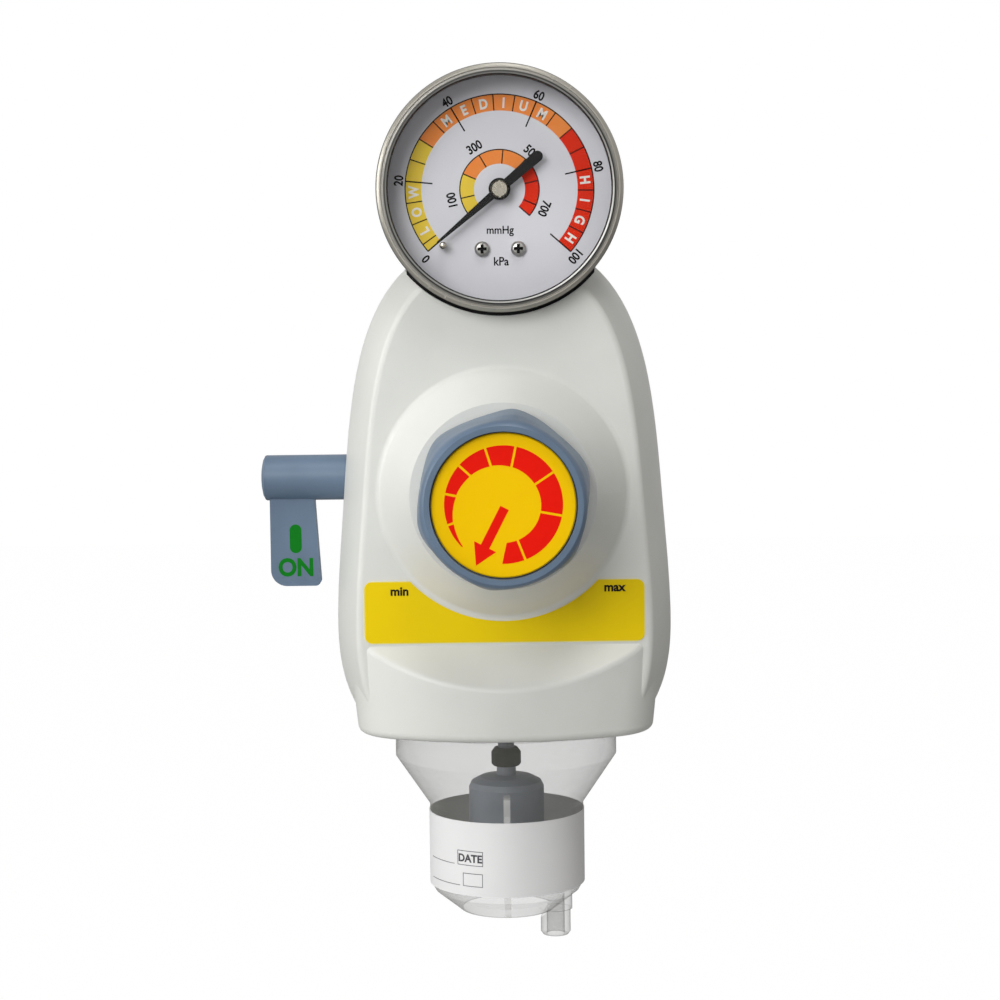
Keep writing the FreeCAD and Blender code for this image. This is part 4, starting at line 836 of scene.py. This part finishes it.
def ring_edges(angle):
    """Inner and outer radius of the red ring at an angle, clockwise from the top."""
    left = max(0.0, 1.0 - (angle - ring_start) / ring_turn)
    outer = outer_radius + outer_shift * math.cos(math.radians(angle))
    return (inner_radius + inner_rise * left ** 2) * mm, outer * mm


def beside(angle, radius, aside):
    """A point at a radius on a line that is moved sideways from the line at an angle."""
    turn = math.radians(angle) + math.asin(aside / radius)
    return radius * math.sin(turn), radius * math.cos(turn)


def ring_rows(start, end):
    """The two edges of one segment of the ring, between two cuts."""
    first = 0.0 if start == ring_cuts[0] else half_gap
    last = 0.0 if end == ring_end else -half_gap
    steps = max(3, int((end[0] - start[0]) / 4))
    shares = [i / steps for i in range(steps + 1)]
    rows = []
    for edge in (0, 1):
        turns = [start[edge] + (end[edge] - start[edge]) * share for share in shares]
        asides = [first + (last - first) * share for share in shares]
        rows.append([beside(t, ring_edges(t)[edge], a) for t, a in zip(turns, asides)])
    return rows


def disc_print():
    """The ring's segments, and an arrow made of a shaft and a head."""
    red = bmesh.new()
    front, back = disc_front - print_height, disc_front + sink
    for start, end in zip(ring_cuts[:-1], ring_cuts[1:]):
        slab(red, *ring_rows(start, end), front, back)
    tail = Vector((0.24 * mm, -0.6 * mm))
    base = Vector((-4.58 * mm, -9.93 * mm))
    tip = Vector((-6.85 * mm, -14.55 * mm))
    along = (base - tail).normalized()
    side = Vector((along.y, -along.x))
    shaft, head, blunt = side * 1.14 * mm, side * 2.98 * mm, side * 0.01 * mm
    slab(red, [tail - shaft, base - shaft], [tail + shaft, base + shaft], front, back)
    slab(red, [base - head, tip], [base + head, tip + blunt], front, back)
    return finished("disc_print", red, red_ink, "knob")


front_of_flag = -20.3 * mm
sign_middle = -56.0 * mm


def lever_print():
    """ON under an upright bar with round ends, on the front of the lever's flag."""
    green = bmesh.new()
    front = front_of_flag - print_height
    steps = [math.radians(a) for a in range(0, 181, 15)]
    half, low, high = 1.6 * mm, -18.1 * mm, -10.3 * mm
    arch = [(sign_middle - half * math.cos(a), high - half + half * math.sin(a)) for a in steps]
    bowl = [(sign_middle - half * math.cos(a), low + half - half * math.sin(a)) for a in steps]
    slab(green, bowl, arch, front, front_of_flag + sink)
    letters(green, "ON", (sign_middle, -21.9 * mm), 4.5 * mm, front, 0, 0.055, 0.92)
    return finished("lever_sign", green, green_ink, "lever")


for sign in (disc_print(), lever_print()):
    print(sign.name, len(sign.data.polygons), "faces")

# %% [markdown]
# ## Crimps in the bezel
# The steel ring is locked on with small pressed lines near its rim, in two pairs across the dial. They
# use the same tree as the scale marks, with other sizes, and stand only slightly out of the steel.

# %% Crimps
bezel_front = front_of("gauge_bezel")
crimp = {"Step": math.radians(9.0), "Count": 2, "Radius": 30.2 * mm,
         "Size": (0.35 * mm, 0.5 * mm, 1.5 * mm), "Centre": (0.0, bezel_front + 0.42 * mm, gauge_z)}
pairs = [dict(crimp, First=math.radians(angle)) for angle in (27.2, -152.8)]
crimps = bars(pairs, "bezel_crimps", bezel_steel, "housing")
print("crimps", len(crimps.data.polygons), "faces")

# %% [markdown]
# ## Light and background
# The picture is an even product shot: a large soft light from the upper left, a weak one on the left
# side, another from above, and white all round. The lamps aim at the middle of the object, which lies
# near the origin.

# %% Lamps
object_middle = Vector((0.0, -0.04, 0.0))


def soft_lamp(name, place, size, watts):
    lamp = bpy.data.lights.new(name, "AREA")
    lamp.shape, lamp.size, lamp.energy = "DISK", size, watts
    holder = bpy.data.objects.new(name, lamp)
    aim = (object_middle - Vector(place)).to_track_quat("-Z", "Y")
    holder.matrix_world = Matrix.Translation(place) @ aim.to_matrix().to_4x4()
    bpy.context.scene.collection.objects.link(holder)
    print("lamp", name, watts, "W")


soft_lamp("upper left", (-0.50, -1.10, 0.48), 0.80, 7.9)
soft_lamp("left side", (-0.95, -0.25, 0.20), 0.50, 3.2)
soft_lamp("overhead", (0.10, -0.50, 1.10), 0.50, 3.6)

# %% [markdown]
# ## A white world
# The world is white for the camera and for clear pieces, and two thirds as bright in mirrors. For all
# other light it is dimmer and a little warm, so the background does not flood the object. A Light Path node
# tells these rays apart.

# %% World
world = bpy.data.worlds.new("studio")
world.use_nodes = True
bpy.context.scene.world = world
sky = Graph(world.node_tree)
world.node_tree.nodes.clear()
path = sky.node("ShaderNodeLightPath")
seen = {name: Wire(sky, path.socket.node.outputs[name]) for name in
        ("Is Camera Ray", "Is Glossy Ray", "Is Transmission Ray")}
shown = seen["Is Camera Ray"].call("MAXIMUM", seen["Is Glossy Ray"] * 0.5)
shown = shown.call("MAXIMUM", seen["Is Transmission Ray"])
strength = shown * 0.70 + 0.30
warm, white = (1.0, 0.985, 0.95, 1.0), (1.0, 1.0, 1.0, 1.0)
tint = sky.node("ShaderNodeMix", {"data_type": "RGBA"}, {0: shown, 6: warm, 7: white}, output=2)
shine = sky.node("ShaderNodeBackground", inputs={"Color": tint, "Strength": strength})
sky.tree.links.new(shine.socket, sky.tree.nodes.new("ShaderNodeOutputWorld").inputs[0])
print("world nodes", len(world.node_tree.nodes))

# %% [markdown]
# ## The floor
# The regulator hangs on a wall, so the floor lies well below it. It is a mid grey, which reflects only
# half of the light that reaches it. For the camera nearly all of it is a plain white glow, so it joins
# the white background and still keeps a faint shadow.

# %% Floor
mesh = bmesh.new()
floor_half, floor_z, floor_depth = 3.0, -0.32, 0.01
top = [(-floor_half, floor_z), (floor_half, floor_z)]
bottom = [(x, z - floor_depth) for x, z in top]
slab(mesh, top, bottom, -floor_half, floor_half)
data = bpy.data.meshes.new("floor")
mesh.to_mesh(data)
mesh.free()
floor = bpy.data.objects.new("floor", data)
bpy.context.scene.collection.objects.link(floor)
pale = Finish("pale floor", Roughness=0.8)
speck = pale.noise(0.4, 2.0)
pale.set(Base_Color=pale.blend(speck, (0.50, 0.50, 0.50, 1.0), (0.48, 0.48, 0.48, 1.0)))
glow = pale.node("ShaderNodeEmission", inputs={"Color": white, "Strength": 1.02})
view = pale.node("ShaderNodeLightPath", output="Is Camera Ray")
lit = Wire(pale, pale.shader.outputs[0])
mixed = pale.node("ShaderNodeMixShader", inputs={0: view * 0.97, 1: lit, 2: glow})
pale.tree.links.new(mixed.socket, pale.output.inputs[0])
data.materials.append(pale.material)
bpy.context.scene.view_settings.view_transform = "Standard"
print("floor", round(floor_z, 2), "m high")
